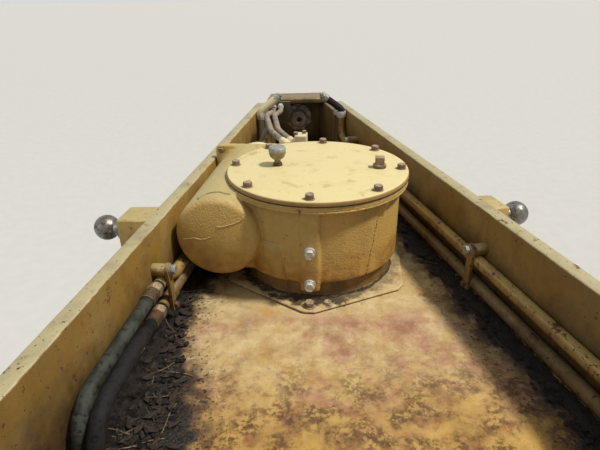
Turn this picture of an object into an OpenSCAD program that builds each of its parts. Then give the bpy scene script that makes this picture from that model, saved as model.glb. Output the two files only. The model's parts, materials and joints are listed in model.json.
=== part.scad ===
// Drawbar of a motor grader with its circle drive and circle.
// The origin is the centre of the nose ball. +Y points forward, +Z up. Lengths are millimetres.

/* [Drawbar frame] */
// Distance from the ball's centre back to the upright axis of the gear case
case_back = 1300; // [1250:10:1400]
// Clear width between the rails beside the gear case
rail_gap = 660; // [650:5:700]
// Angle of each rail to the centre line, in degrees
rail_splay = 10; // [9:0.5:10.5]
// Thickness of a rail's plate
rail_t = 32; // [24:2:40]
// Height of a rail's top edge above the deck
rail_rise = 216; // [200:4:240]
// Distance from the ball's centre back to the rails' front ends
rail_front = 300; // [260:10:340]
// Distance from the ball's centre back to the rails' rear ends
rail_back = 2300; // [2250:10:2400]
// Length of the slope at a rail's rear end
rail_slope = 190; // [120:10:260]
// Height left at a rail's rear end, above the deck
rail_tail = 96; // [70:2:130]
// Height of the ball's centre above the deck
ball_rise = 118; // [100:2:130]
// Thickness of the deck plate
deck_t = 20; // [12:2:26]

/* [Nose] */
// Radius of the nose ball
ball_r = 60; // [50:1:70]
// Radius of the ball's neck and shank
shank_r = 37; // [28:1:42]
// Radius of the collar between the ball and the end plate
collar_r = 74; // [60:1:90]
// Thickness of the collar
collar_t = 18; // [10:1:24]
// Distance from the ball's centre back to the front of the end plate
end_plate_back = 100; // [92:1:120]
// Thickness of the end plate
end_plate_t = 40; // [25:1:50]
// Thickness of a cheek plate
cheek_t = 28; // [16:1:36]
// Distance from the ball's centre back to the cheeks' rear edges
cheek_back = 386; // [360:2:395]
// Height of a cheek plate above the deck
cheek_rise = 196; // [170:2:210]
// Length of the bridge plate over the cheeks
bridge_l = 96; // [60:2:140]
// Thickness of the bridge plate
bridge_t = 20; // [10:1:26]
// Radius of the flange of the rear cap
cap_flange_r = 61; // [52:1:70]
// Thickness of the flange of the rear cap
cap_flange_t = 22; // [14:1:30]
// Radius of the hub of the rear cap
cap_hub_r = 37; // [28:1:44]
// Length of the hub of the rear cap
cap_hub_l = 62; // [40:2:80]

/* [Gear case] */
// Height of the lid's top above the deck
case_h = 268; // [250:2:290]
// Turn of the case about its upright axis, which lays the worm along the left rail, in degrees
case_turn = 9; // [7:0.5:10]
// Radius of the lid and of the case's top flange
lid_r = 225; // [215:1:230]
// Thickness of the lid
lid_t = 12; // [8:1:16]
// Thickness of the case's top flange
case_flange_t = 16; // [10:1:20]
// Radius of the case's body
body_r = 206; // [190:1:208]
// Radius of the foot under the case's body
foot_r = 190; // [178:1:192]
// Height of the foot between the base flange and the case's underside
foot_h = 46; // [30:1:56]
// Radius of the circle through the corners of the base flange
base_r = 258; // [250:1:266]
// Thickness of the base flange
base_t = 8; // [6:1:14]
// Distance from the case's axis to the worm's axis
worm_out = 217; // [208:1:218]
// Distance from the lid's top down to the worm's axis
worm_drop = 113; // [113:1:118]
// Radius of the worm housing
worm_r = 100; // [90:1:100]
// Distance from the case's axis to the tip of the worm housing's dome
worm_tip = 200; // [190:1:215]
// Depth of the worm housing's dome
dome_h = 26; // [20:1:40]
// Distance from the case's axis to the motor flange's near face
motor_flange_y = 206; // [196:1:216]
// Width of the square motor flange
motor_flange_w = 204; // [202:1:206]
// Thickness of the motor flange
motor_flange_t = 20; // [14:1:26]
// Width of the front boss that holds the level plugs
boss_w = 46; // [36:1:60]
// Distance that the front boss stands out of the body
boss_out = 9; // [5:1:14]
// Distance from the lid's top down to the upper level plug
plug_high = 126; // [110:1:140]
// Distance from the lid's top down to the lower level plug
plug_low = 210; // [190:1:214]

/* [Drive motor] */
// Radius of the motor's body
motor_r = 76; // [66:1:80]
// Length of the motor's body
motor_l = 128; // [100:2:150]
// Width of the motor's own flange
motor_foot_w = 150; // [130:2:164]
// Thickness of the motor's own flange
motor_foot_t = 18; // [12:1:24]

/* [Lid fittings] */
// Distance from the lid's centre to the breather
breather_out = 101; // [80:1:120]
// Radius of the breather's cap
breather_r = 22; // [16:1:26]
// Height of the breather
breather_h = 50; // [40:1:60]
// Distance from the lid's centre to the filler plug
filler_out = 154; // [130:1:165]
// Width of the filler plug's square head
filler_w = 22; // [16:1:30]
// Height of the filler plug
filler_h = 27; // [18:1:36]
// Width across the flats of a level plug's hexagon
level_plug_af = 24; // [18:1:30]

/* [Circle] */
// Module of the circle's teeth and of the pinion's
tooth_module = 18; // [17.5:0.1:18.5]
// Number of teeth inside the circle
ring_teeth = 64; // [64:2:66]
// Number of teeth on the pinion
pinion_teeth = 10; // [10:1:10]
// Height of the toothed band
gear_face = 74; // [60:2:90]
// Thickness of the toothed band behind the tooth roots
gear_rim = 20; // [14:1:26]
// Thickness of the circle's upright web
web_t = 24; // [16:1:30]
// Height of the circle's section
ring_h = 112; // [100:2:130]
// Width that the circle's lip stands out of the web
lip_w = 34; // [30:1:40]
// Thickness of the circle's lip
lip_t = 24; // [18:1:30]
// Thickness of the ledge that carries the toothed band
ledge_t = 18; // [12:1:24]

/* [Guide shoes] */
// Thickness of a shoe's pad under the deck
pad_t = 20; // [12:1:28]
// Thickness of a wear strip
wear_t = 12; // [8:1:16]
// Width of a shoe's block outside the circle
shoe_w = 40; // [30:1:50]
// Thickness of a shoe's clip below the lip
clip_t = 24; // [16:1:30]
// Half of the angle that a shoe spans, in degrees
shoe_half = 7.5; // [6:0.5:9]

/* [Blade arms] */
// Distance from the centre line to the middle of an arm's plate
arm_x = 580; // [572:1:586]
// Thickness of an arm's plate
arm_t = 36; // [28:1:44]
// Distance from the circle's underside down to the blade pivot
pivot_drop = 430; // [380:5:480]
// Distance from the circle's centre back to the blade pivot
pivot_back = 150; // [100:5:200]
// Radius of the blade pivot's bore
pivot_bore_r = 32.5; // [25:0.5:40]
// Radius of the eye round the blade pivot
pivot_eye_r = 78; // [70:1:90]
// Distance that the pivot's boss stands out on each side of the arm
pivot_boss = 10; // [6:1:16]
// Radius of the bore for the blade's tilt link
tilt_bore_r = 20; // [15:0.5:25]
// Radius of the tube that ties the arms
tie_r = 45; // [35:1:55]

/* [Lift arms and side shift] */
// Distance from the rails' front ends back along a rail to the lift arm's middle
lift_along = 945; // [900:5:990]
// Reach of a lift arm from the rail's face to its end
lift_reach = 190; // [160:5:230]
// Width of a lift arm along the rail
lift_w = 96; // [76:2:120]
// Height of a lift arm's top above the deck
lift_rise = 120; // [110:2:140]
// Height of a lift arm at the rail
lift_root_h = 138; // [120:2:138]
// Height of a lift arm at its end
lift_tip_h = 92; // [80:2:120]
// Radius of a lift ball
lift_ball_r = 36; // [28:1:42]
// Radius of a lift ball's stud
lift_stud_r = 22; // [16:1:25]
// Distance from the rails' front ends back along the right rail to the side-shift bracket
shift_along = 1640; // [1560:10:1700]
// Reach of the side-shift bracket from the rail's face
shift_reach = 70; // [50:2:100]

/* [Lines] */
// Outer diameter of a steel line
tube_d = 28; // [22:1:30]
// Outer diameter of a rubber hose
hose_d = 28; // [22:1:30]
// Height of the upper lines above the deck
line_high = 103; // [96:1:112]
// Height of the lower lines above the deck
line_low = 46; // [40:1:52]
// Clearance of the left lines under the worm housing, and between each other there
pass_gap = 3; // [2:0.5:5]
// Bend radius of a steel line
tube_bend = 48; // [44:1:54]
// Bend radius of a hose
hose_bend = 72; // [60:1:74]
// Outer diameter of a motor hose
motor_hose_d = 20; // [18:1:22]

/* [Hidden] */
$fn = 72;

paint = "#D9B95A";
pale_paint = "#E3D08C";
deck_paint = "#B98B3C";
old_iron = "#5B4A3A";
bare_steel = "#8C8A84";
zinc = "#B9BBBB";
bronze = "#8A6A3A";
rubber = "#3B3D38";
grey_hose = "#8E8A80";

// Gap left where curved faces or moving faces meet
seat_gap = 0.3;
// Hair between a rail and the plates that butt on its slanted face
butt_gap = 0.01;
// Radial clearance of the pinion's shaft in the case
shaft_gap = 0.05;
// Clearance of a moving piece that is not at its bearing
free_gap = 5;
// Step of the computed arcs, in degrees
arc_step = 15;

// Levels
deck_top = -ball_rise;
deck_under = deck_top - deck_t;
rail_top = deck_top + rail_rise;
lid_top = deck_top + case_h;
cheek_top = deck_top + cheek_rise;

// Half of the clear width between the rails at the station y
function half_gap(y) = rail_gap / 2 - (y + case_back) * tan(rail_splay);
// Width that a thickness measured square to a rail takes across the drawbar
function across(t) = t / cos(rail_splay);
// Point beside a rail, at the distance off from its inner face
function beside(side, y, off, z) = [side * (half_gap(y) - across(off)), y, z];
// Point of the case's own frame, in the drawbar's frame
function case_point(p) = [
    p[0] * cos(case_turn) + p[1] * sin(case_turn),
    -case_back - p[0] * sin(case_turn) + p[1] * cos(case_turn),
    lid_top + p[2]
];
function unit(v) = v / norm(v);
function arc(c, r, from, to) =
    let(n = max(1, ceil(abs(to - from) / arc_step)))
    [for (i = [0 : n]) let(a = from + (to - from) * i / n) c + r * [cos(a), sin(a)]];

// Mirrors its children for the left side
module on_side(side) {
    if (side < 0) mirror([1, 0, 0]) children();
    else children();
}

// Frame of the right rail: X runs back along its inner face, Y points outwards
module rail_frame() {
    translate([half_gap(-rail_front) + butt_gap, -rail_front, 0]) rotate([0, 0, rail_splay - 90]) children();
}

// Plate that stands on the X axis, from y to y + t, with its outline drawn in X and Z
module upright(t, y = 0) {
    translate([0, y + t, 0]) rotate([90, 0, 0]) linear_extrude(t) children();
}

// Round rod from a to b
module rod(a, b, d) {
    u = b - a;
    translate(a) rotate([0, acos(u[2] / norm(u)), atan2(u[1], u[0])]) cylinder(d = d, h = norm(u));
}

// Square with round corners, drawn round its centre
module soft_square(w, h, r) {
    square([w - 2 * r, h], center = true);
    square([w, h - 2 * r], center = true);
    for (x = [-1, 1], y = [-1, 1]) translate([x * (w / 2 - r), y * (h / 2 - r)]) circle(r);
}

// Flat link: two circles and the straight sides that touch both
module link(a, ra, b, rb) {
    base = atan2(b[1] - a[1], b[0] - a[0]);
    lean = acos((ra - rb) / norm(b - a));
    translate(a) circle(ra);
    translate(b) circle(rb);
    polygon([
        a + ra * [cos(base + lean), sin(base + lean)], a + ra * [cos(base - lean), sin(base - lean)],
        b + rb * [cos(base - lean), sin(base - lean)], b + rb * [cos(base + lean), sin(base + lean)]
    ]);
}

// Points along straight runs with an arc of the radius bend at each corner
function corner(path, i, bend) =
    let(u = unit(path[i] - path[i - 1]), v = unit(path[i + 1] - path[i]), a = acos(u * v),
        w = unit(v - u * (u * v)), c = path[i] - u * bend * tan(a / 2) + w * bend,
        n = ceil(a / arc_step))
    [for (k = [0 : n]) c + bend * (u * sin(a * k / n) - w * cos(a * k / n))];
function bent(path, bend) = concat(
    [path[0]], [for (i = [1 : len(path) - 2]) each corner(path, i, bend)], [path[len(path) - 1]]
);
function heading(points, i) =
    unit(points[min(i + 1, len(points) - 1)] - points[max(i - 1, 0)]);
function square_to(n, t) = unit(n - t * (n * t));

// Round line of the diameter d along straight runs, bent at each corner
module line(path, d, bend) {
    sides = 12;
    points = bent(path, bend);
    last = len(points) - 1;
    first = heading(points, 0);
    normals = [
        for (i = 0, n = square_to([0.3, 0.2, 1], first); i <= last;
            i = i + 1, n = i > last ? n : square_to(n, heading(points, i))) n
    ];
    rings = [for (i = [0 : last], k = [0 : sides - 1])
        let(n = normals[i], m = cross(heading(points, i), n), a = k * 360 / sides)
        points[i] + d / 2 * (n * cos(a) + m * sin(a))];
    polyhedron(rings, concat(
        [[for (k = [0 : sides - 1]) k]],
        [[for (k = [0 : sides - 1]) last * sides + sides - 1 - k]],
        [for (i = [0 : last - 1], k = [0 : sides - 1])
            let(j = (k + 1) % sides)
            [i * sides + k, (i + 1) * sides + k, (i + 1) * sides + j, i * sides + j]]
    ));
}

// Drawbar frame

rail_l = (rail_back - rail_front) / cos(rail_splay);

module rail(side) {
    tail_z = deck_top + rail_tail;
    color(paint) on_side(side) rail_frame() upright(rail_t) polygon([
        [0, deck_under], [rail_l, deck_under], [rail_l, tail_z],
        [rail_l - rail_slope, rail_top], [0, rail_top]
    ]);
}

module deck_plate() {
    front = -end_plate_back - end_plate_t;
    back = -rail_back;
    color(deck_paint) translate([0, 0, deck_under]) difference() {
        linear_extrude(deck_t) polygon([
            [-half_gap(front), front], [half_gap(front), front],
            [half_gap(back), back], [-half_gap(back), back]
        ]);
        translate([0, -case_back, -1]) cylinder(r = spigot_r + seat_gap, h = deck_t + 2);
    }
}

cross_t = 28;
cross_rise = 150;
cross_flange_w = 110;
cross_y = -rail_back + 60;

module rear_crossmember() {
    flange_front = cross_y + cross_flange_w;
    color(paint) {
        translate([0, 0, deck_top]) linear_extrude(cross_rise) polygon([
            [-half_gap(cross_y), cross_y], [half_gap(cross_y), cross_y],
            [half_gap(cross_y + cross_t), cross_y + cross_t], [-half_gap(cross_y + cross_t), cross_y + cross_t]
        ]);
        translate([0, 0, deck_top + cross_rise - cross_t]) linear_extrude(cross_t) polygon([
            [-half_gap(cross_y), cross_y], [half_gap(cross_y), cross_y],
            [half_gap(flange_front), flange_front], [-half_gap(flange_front), flange_front]
        ]);
        for (x = [-1, 1] * rail_gap / 4) translate([x - cross_t / 4, cross_y + cross_t, deck_top])
            rotate([90, 0, 90]) linear_extrude(cross_t / 2) polygon([
                [0, 0], [cross_flange_w * 1.4, 0], [cross_flange_w - cross_t, cross_rise - cross_t],
                [0, cross_rise - cross_t]
            ]);
    }
}

// Nose

module nose_cheek(side) {
    front = -end_plate_back - end_plate_t;
    back = -cheek_back;
    w = across(cheek_t);
    color(paint) on_side(side) translate([0, 0, deck_top]) linear_extrude(cheek_rise) polygon([
        [half_gap(front), front], [half_gap(back), back],
        [half_gap(back) - w, back], [half_gap(front) - w, front]
    ]);
}

module nose_end_plate() {
    w = half_gap(-end_plate_back - end_plate_t);
    ear = 40;
    color(paint) translate([0, -end_plate_back, 0]) rotate([90, 0, 0]) linear_extrude(end_plate_t)
        difference() {
            polygon([
                [-w + ear, deck_under], [w - ear, deck_under], [w, deck_under + ear], [w, cheek_top],
                [-w, cheek_top], [-w, deck_under + ear]
            ]);
            circle(shank_r + seat_gap);
        }
}

module nose_bridge() {
    front = -end_plate_back - end_plate_t;
    back = front - bridge_l;
    color(paint) translate([0, 0, cheek_top]) linear_extrude(bridge_t) polygon([
        [-half_gap(front), -end_plate_back], [half_gap(front), -end_plate_back],
        [half_gap(back), back], [-half_gap(back), back]
    ]);
}

module ball_stud() {
    color(bare_steel) rotate([90, 0, 0]) {
        sphere(ball_r);
        cylinder(r = shank_r, h = end_plate_back + end_plate_t);
        translate([0, 0, end_plate_back - collar_t]) cylinder(r = collar_r, h = collar_t);
    }
}

module ball_cap() {
    plug_r = 12;
    plug_h = 26;
    edge = 5;
    l = cap_flange_t + cap_hub_l;
    color(old_iron) translate([0, -end_plate_back - end_plate_t, 0]) rotate([90, 0, 0]) rotate_extrude() polygon([
        [0, 0], [cap_flange_r, 0], [cap_flange_r, cap_flange_t - edge], [cap_flange_r - edge, cap_flange_t],
        [cap_hub_r, cap_flange_t], [cap_hub_r, l - edge], [cap_hub_r - edge, l],
        [plug_r, l], [plug_r, l - plug_h], [0, l - plug_h]
    ]);
}

// Gear case

// The case's own frame: its origin is the centre of the lid's top
module case_frame() {
    translate([0, -case_back, lid_top]) rotate([0, 0, -case_turn]) children();
}

spigot_r = 92;
spigot_below = 14;
shaft_r = 40;
shaft_deep = 150;
foot_round = 8;
boss_sink = 40;
web_below = 2;
face_sag = 8;

module case_body() {
    flange_z = -lid_t - case_flange_t;
    foot_z = -case_h + base_t + foot_h;
    neck = min(14, lid_r - 3 - body_r);
    rotate_extrude() polygon(concat(
        [[0, -lid_t], [lid_r - 1, -lid_t], [lid_r - 1, flange_z]],
        arc([body_r + neck, flange_z - neck], neck, 90, 180),
        arc([body_r - foot_round, foot_z + foot_round], foot_round, 0, -90),
        [[foot_r, foot_z], [foot_r, -case_h + base_t / 2], [0, -case_h + base_t / 2]]
    ));
}

module case_base() {
    translate([0, 0, -case_h]) linear_extrude(base_t) intersection() {
        rotate(30) circle(base_r, $fn = 6);
        circle(base_r - 8);
    }
    translate([0, 0, -case_h - deck_t - spigot_below]) cylinder(r = spigot_r, h = deck_t + spigot_below + 1);
}

module worm_housing() {
    crown = dome_h - face_sag;
    face_w = worm_r - crown;
    face_r = (face_w * face_w + face_sag * face_sag) / (2 * face_sag);
    face_half = asin(face_w / face_r);
    translate([-worm_out, 0, -worm_drop]) {
        rotate([-90, 0, 0]) rotate([0, 0, 70]) rotate_extrude() polygon(concat(
            [for (i = [0 : 4]) [0, face_r - worm_tip] + face_r * [sin(face_half * i / 4), -cos(face_half * i / 4)]],
            arc([face_w, dome_h - worm_tip], crown, -72, 0),
            [[worm_r, motor_flange_y + motor_flange_t], [0, motor_flange_y + motor_flange_t]]
        ));
        translate([0, motor_flange_y + motor_flange_t, 0]) rotate([90, 0, 0]) linear_extrude(motor_flange_t)
            difference() {
                intersection() {
                    soft_square(motor_flange_w, motor_flange_w, 18);
                    translate([-motor_flange_w, 0]) square(2 * motor_flange_w);
                }
                translate([-1, 1] * (motor_flange_w / 2 - 17)) circle(7);
            }
    }
    // Web that joins the housing to the body, just below the housing's crown
    translate([-worm_out, -worm_tip + dome_h + 20, -worm_drop - worm_r + web_below])
        cube([worm_out - body_r / 2, worm_tip - dome_h - 30 + motor_flange_y, 2 * (worm_r - web_below)]);
}

module front_boss() {
    low = plug_low + level_plug_af / 2 + 8;
    translate([0, 0, -low]) linear_extrude(low - lid_t - case_flange_t / 2)
        translate([0, -body_r + (boss_sink - boss_out) / 2]) soft_square(boss_w, boss_sink + boss_out, 8);
}

// Raised panel on the body between the worm housing and the front boss, and a lug under the top flange
panel_out = 3;
panel_from = -131;
panel_to = -108;
lug_t = 10;

module body_panel() {
    low = -case_h + base_t + foot_h + 2;
    rotate([0, 0, panel_from]) rotate_extrude(angle = panel_to - panel_from)
        translate([body_r - 12, low]) square([12 + panel_out, -plug_high - low]);
}

module flange_lug() {
    flange_z = -lid_t - case_flange_t;
    rotate([0, 0, -40]) translate([0, lug_t / 2, 0]) rotate([90, 0, 0]) linear_extrude(lug_t) polygon([
        [body_r - 8, flange_z + 4], [lid_r - 3, flange_z + 4], [lid_r - 3, flange_z - 6], [body_r + 1, flange_z - 40],
        [body_r - 8, flange_z - 40]
    ]);
}

module gear_case() {
    color(paint) case_frame() difference() {
        union() {
            case_body();
            case_base();
            worm_housing();
            front_boss();
            body_panel();
            flange_lug();
        }
        translate([0, 0, -case_h - deck_t - spigot_below - 1]) cylinder(r = shaft_r + shaft_gap, h = shaft_deep);
    }
}

module case_lid() {
    edge = 2.5;
    color(pale_paint) case_frame() rotate_extrude() polygon([
        [0, -lid_t], [lid_r, -lid_t], [lid_r, -edge], [lid_r - edge, 0], [0, 0]
    ]);
}

module breather() {
    stem_r = 8;
    hex_af = 22;
    hex_h = 7;
    bowl_z = breather_h * 0.34;
    color(zinc) case_frame() translate([-breather_out, 6, 0]) {
        cylinder(d = hex_af / cos(30), h = hex_h, $fn = 6);
        rotate_extrude() polygon(concat(
            [[0, 0], [stem_r, 0], [stem_r, bowl_z], [breather_r - 5, bowl_z + 2], [breather_r, bowl_z + 9]],
            [[breather_r, breather_h - 9]],
            arc([breather_r - 8, breather_h - 8], 8, 0, 90),
            [[0, breather_h]]
        ));
    }
}

module filler_plug() {
    collar_h = 8;
    color(old_iron) case_frame() translate([filler_out, 6, 0]) {
        cylinder(d = filler_w * 1.5, h = collar_h);
        translate([0, 0, (filler_h + collar_h) / 2])
            cube([filler_w, filler_w, filler_h - collar_h + 0.01], center = true);
    }
}

module level_plugs() {
    head_h = 13;
    washer_h = 5;
    front = -body_r - boss_out;
    color(zinc) case_frame() for (z = [-plug_high, -plug_low]) translate([0, front, z]) rotate([90, 0, 0]) {
        cylinder(d = level_plug_af + 12, h = washer_h);
        cylinder(d = level_plug_af / cos(30), h = washer_h + head_h, $fn = 6);
    }
}

// Drive motor

end_l = 62;
end_h = 94;
end_reach = 147;
head_w = 32;
head_h = 42;
collar_l = 40;
port_rise = 59;
port_turn = unit([-0.62, 0.74, 0.2]);
motor_end = motor_flange_y + motor_flange_t + motor_l;
hose_pitch = motor_hose_d + 10;

// Tip of the hose collar i in the case's own frame
function port_tip(i) = [-worm_out + 89, motor_end + 71, port_rise - worm_drop]
    - (1 - i) * (motor_hose_d + 6) * [0.9, 0.47, 0];

module drive_motor() {
    neck_r = motor_r - 8;
    cover = 10;
    foot_y = motor_flange_y + motor_flange_t;
    color(pale_paint) case_frame() {
        translate([-worm_out, foot_y, -worm_drop]) {
            rotate([90, 0, 0]) mirror([0, 0, 1]) linear_extrude(motor_foot_t)
                intersection() {
                    rotate(45) square(motor_foot_w * 1.05, center = true);
                    circle(motor_foot_w / 2);
                }
            rotate([-90, 0, 0]) rotate_extrude() polygon([
                [0, 0], [neck_r, 0], [neck_r, motor_foot_t + cover], [motor_r, motor_foot_t + 2 * cover],
                [motor_r, motor_l * 0.6], [motor_r - 4, motor_l * 0.62], [motor_r - 4, motor_l - cover],
                [motor_r - 4 - cover, motor_l], [motor_r - 4 - cover, motor_l + cover], [0, motor_l + cover]
            ]);
        }
        translate([-worm_out - end_h / 2, motor_end - 4, -worm_drop - end_h / 2])
            cube([end_reach + end_h / 2, end_l, end_h]);
        translate([-worm_out + end_reach - head_w, motor_end + 2, -worm_drop])
            cube([head_w + 6, end_l - 12, end_h / 2 + head_h]);
        for (i = [0, 1]) rod(port_tip(i) - collar_l * port_turn, port_tip(i), motor_hose_d + 4);
    }
}

bracket_y = -cheek_back + 40;
bracket_t = 10;
bracket_w = 92;
bracket_foot = 60;
union_l = 30;
union_w = motor_hose_d + 6;
// Point where the hose i passes its bracket
function union_point(i) =
    [-half_gap(bracket_y) + across(cheek_t) + 20 + hose_pitch * i, bracket_y, cheek_top + 14];

module hose_bracket() {
    inner = -half_gap(bracket_y) + across(cheek_t);
    color(paint) difference() {
        translate([inner, bracket_y, cheek_top - bracket_foot]) cube([bracket_w, bracket_t, bracket_foot + 34]);
        translate([inner, bracket_y - 1, cheek_top - bracket_foot])
            rotate([0, 0, -rail_splay]) translate([-50, -20, -1]) cube([50, 60, bracket_foot + 40]);
    }
    color(zinc) for (i = [0, 1]) translate(union_point(i)) rotate([90, 0, 0]) {
        translate([0, 0, -bracket_t - 16]) cylinder(d = union_w, h = 16, $fn = 6);
        cylinder(d = union_w, h = union_l, $fn = 6);
    }
}

module motor_hose(i) {
    start = case_point(port_tip(i));
    out = case_point(port_turn) - case_point([0, 0, 0]);
    end = union_point(i) - [0, union_l, 0];
    color(grey_hose) line([
        start, start + 70 * out, end + [-26, -190, 14], end - [0, 60, 0], end
    ], motor_hose_d, 110);
}

// Lines along the rails

line_off = max(tube_d, hose_d) / 2 + seat_gap;
high_z = deck_top + line_high;
low_z = deck_top + line_low;
riser_upper_y = -cheek_back - 78;
riser_lower_y = -cheek_back - 32;
riser_top = deck_top + rail_rise - 28;
// Distances back from the case's axis: where the left lines turn into hoses, where these end, and two clamps
left_join_back = 262;
outer_back = 618;
inner_back = 640;
clamp_back = 208;
clamp_front = 230;
clamp_tail = 260;
join_straight = 60;
inner_sweep = 190;
left_join_y = -case_back - left_join_back;
// Level at which the left upper line clears the worm housing, and the lower line clears the upper
worm_side = rail_gap / 2 * cos(rail_splay) - (motor_flange_y + motor_flange_t) * sin(rail_splay - case_turn)
    - line_off - worm_out;
pass_r = worm_r + tube_d / 2 + pass_gap;
under_worm = worm_side < pass_r ? lid_top - worm_drop - sqrt(pass_r * pass_r - worm_side * worm_side) : high_z;
left_high_z = min(high_z, under_worm);
left_low_z = min(low_z, left_high_z - tube_d - pass_gap);
dip_start = 40;
dip_end = 90;
tube_end_y = cross_y + cross_t + tube_d / 2 * tan(rail_splay) + seat_gap;

module tube_right(z, riser_y) {
    top = beside(1, riser_y, line_off + 4, riser_top);
    color(paint) {
        line([
            beside(1, tube_end_y, line_off, z), beside(1, riser_y - 2 * tube_bend, line_off, z),
            [top[0], riser_y, z], top
        ], tube_d, tube_bend);
        translate(top) cylinder(d = tube_d + 7, h = 20);
    }
}

module tube_left(z, dip, riser_y) {
    top = beside(-1, riser_y, line_off + 4, riser_top);
    color(paint) {
        line(concat(
            [beside(-1, left_join_y, line_off, z)],
            dip > 0 ? [
                beside(-1, left_join_y + dip_start, line_off, z),
                beside(-1, left_join_y + dip_end, line_off, z - dip)
            ] : [],
            [beside(-1, riser_y - 2 * tube_bend, line_off, z - dip), [top[0], riser_y, z - dip], top]
        ), tube_d, tube_bend);
        translate(top) cylinder(d = tube_d + 7, h = 20);
    }
}

hose_end_outer = -case_back - outer_back;
hose_end_inner = -case_back - inner_back;
inner_off = line_off + hose_d + 6;
union_h = 16;

module hose_left_outer() {
    color(rubber) line([
        beside(-1, left_join_y, line_off, high_z), beside(-1, left_join_y - join_straight, line_off, high_z),
        beside(-1, hose_end_outer, line_off + 8, high_z), beside(-1, hose_end_outer, line_off + 8, deck_top + union_h)
    ], hose_d, hose_bend);
}

module hose_left_inner() {
    color(rubber) line([
        beside(-1, left_join_y, line_off, low_z), beside(-1, left_join_y - join_straight, line_off, low_z),
        beside(-1, left_join_y - inner_sweep, inner_off, high_z - 4), beside(-1, hose_end_inner, inner_off + 8, high_z - 4),
        beside(-1, hose_end_inner, inner_off + 8, deck_top + union_h)
    ], hose_d, hose_bend);
}

module deck_unions() {
    color(zinc) for (p = [
        beside(-1, hose_end_outer, line_off + 8, deck_top), beside(-1, hose_end_inner, inner_off + 8, deck_top)
    ]) translate(p) cylinder(d = hose_d + 4, h = union_h, $fn = 6);
}

strap_t = 8;
strap_w = 30;

// Clamp at the distance along a rail: a boss on the rail and a strap over both lines
module clamp(along, upper_z, lower_z) {
    boss_z = upper_z + tube_d / 2 + seat_gap;
    reach = line_off + tube_d / 2 + seat_gap;
    foot_z = lower_z - tube_d / 2 - 2;
    translate([along - strap_w / 2, -reach, boss_z]) cube([strap_w, reach, strap_w]);
    translate([along - strap_w / 2, -reach - strap_t, foot_z]) cube([strap_w, strap_t, boss_z + strap_w - foot_z]);
}

function along_of(y) = (-rail_front - y) / cos(rail_splay);

module clamps_left() {
    color(old_iron) on_side(-1) rail_frame() {
        clamp(along_of(left_join_y + 16), high_z, low_z);
        clamp(along_of(-cheek_back - clamp_front), left_high_z, left_low_z);
    }
}

module clamps_right() {
    color(old_iron) rail_frame() for (y = [-case_back - clamp_back, -cheek_back - clamp_front, cross_y + clamp_tail])
        clamp(along_of(y), high_z, low_z);
}

// Lift arms and side shift

module lift_arm(side) {
    top = deck_top + lift_rise;
    color(paint) on_side(side) rail_frame() translate([lift_along - lift_w / 2, rail_t, 0])
        rotate([90, 0, 90]) linear_extrude(lift_w) polygon([
            [0, top], [lift_reach, top - lift_fall], [lift_reach, top - lift_fall - lift_tip_h],
            [0, top - lift_root_h]
        ]);
}

lift_fall = 10;
lift_z = deck_top + lift_rise - lift_fall - lift_tip_h / 2;
stud_l = 34;

module lift_ball(side) {
    color(bare_steel) on_side(side) rail_frame() translate([lift_along, rail_t + lift_reach, lift_z])
        rotate([-90, 0, 0]) {
            cylinder(r = lift_stud_r + 12, h = 10);
            cylinder(r = lift_stud_r, h = stud_l);
            translate([0, 0, stud_l + lift_ball_r * 0.6]) sphere(lift_ball_r);
        }
}

shift_z = deck_top + 120;

module side_shift_bracket() {
    w = 110;
    color(paint) rail_frame() translate([shift_along, rail_t, shift_z]) rotate([-90, 0, 0]) {
        linear_extrude(20) soft_square(w, w, 18);
        linear_extrude(shift_reach) soft_square(w * 0.6, w * 0.6, 14);
    }
}

module side_shift_ball() {
    color(bare_steel) rail_frame() translate([shift_along, rail_t + shift_reach, shift_z])
        rotate([-90, 0, 0]) {
            cylinder(r = lift_stud_r, h = stud_l);
            translate([0, 0, stud_l + lift_ball_r * 0.6]) sphere(lift_ball_r);
        }
}

// Circle

pressure = 25;
ring_add = 0.70;
ring_ded = 0.85;
pinion_add = 0.75;
pinion_ded = 0.88;
backlash = 1.2;

mesh_r = tooth_module * ring_teeth / 2;
mesh_centre = tooth_module * (ring_teeth - pinion_teeth) / 2;
circle_y = -case_back - mesh_centre;
root_r = mesh_r + ring_ded * tooth_module;
band_r = root_r + gear_rim;
web_in = band_r + seat_gap;
web_out = web_in + web_t;
rim_r = web_out + lip_w;
ring_top = deck_under - pad_t - wear_t - seat_gap;
ring_under = ring_top - ring_h;

function roll(a) = tan(a) * 180 / PI - a;
// Half of a tooth's angle at the radius q: an involute above its base circle, radial below it
function half_tooth(q, teeth, slack) =
    let(r = tooth_module * teeth / 2, rb = r * cos(pressure), s = slack / r * 90 / PI)
    90 / teeth + s + roll(pressure) - (q > rb ? roll(acos(rb / q)) : 0);
// Outline of a gear with outward teeth; the inside of the circle is the same form cut out of it
function gear_outline(teeth, low, high, slack) =
    let(steps = 3, qs = [for (i = [0 : steps]) low + (high - low) * i / steps])
    [for (k = [0 : teeth - 1], side = [-1, 1], i = [0 : steps])
        let(q = qs[side < 0 ? i : steps - i], a = 90 + k * 360 / teeth + side * half_tooth(q, teeth, slack))
        q * [cos(a), sin(a)]];

module circle_frame() {
    translate([0, circle_y, ring_top]) children();
}

lip_weld = 8;

module circle_ring() {
    color(paint) circle_frame() rotate_extrude($fn = 180) polygon([
        [web_in, 0], [rim_r, 0], [rim_r, -lip_t], [web_out + lip_weld, -lip_t], [web_out, -lip_t - lip_weld],
        [web_out, -ring_h], [root_r + 8, -ring_h], [root_r + 8, -ring_h + ledge_t],
        [web_in, -ring_h + ledge_t]
    ]);
}

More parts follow.
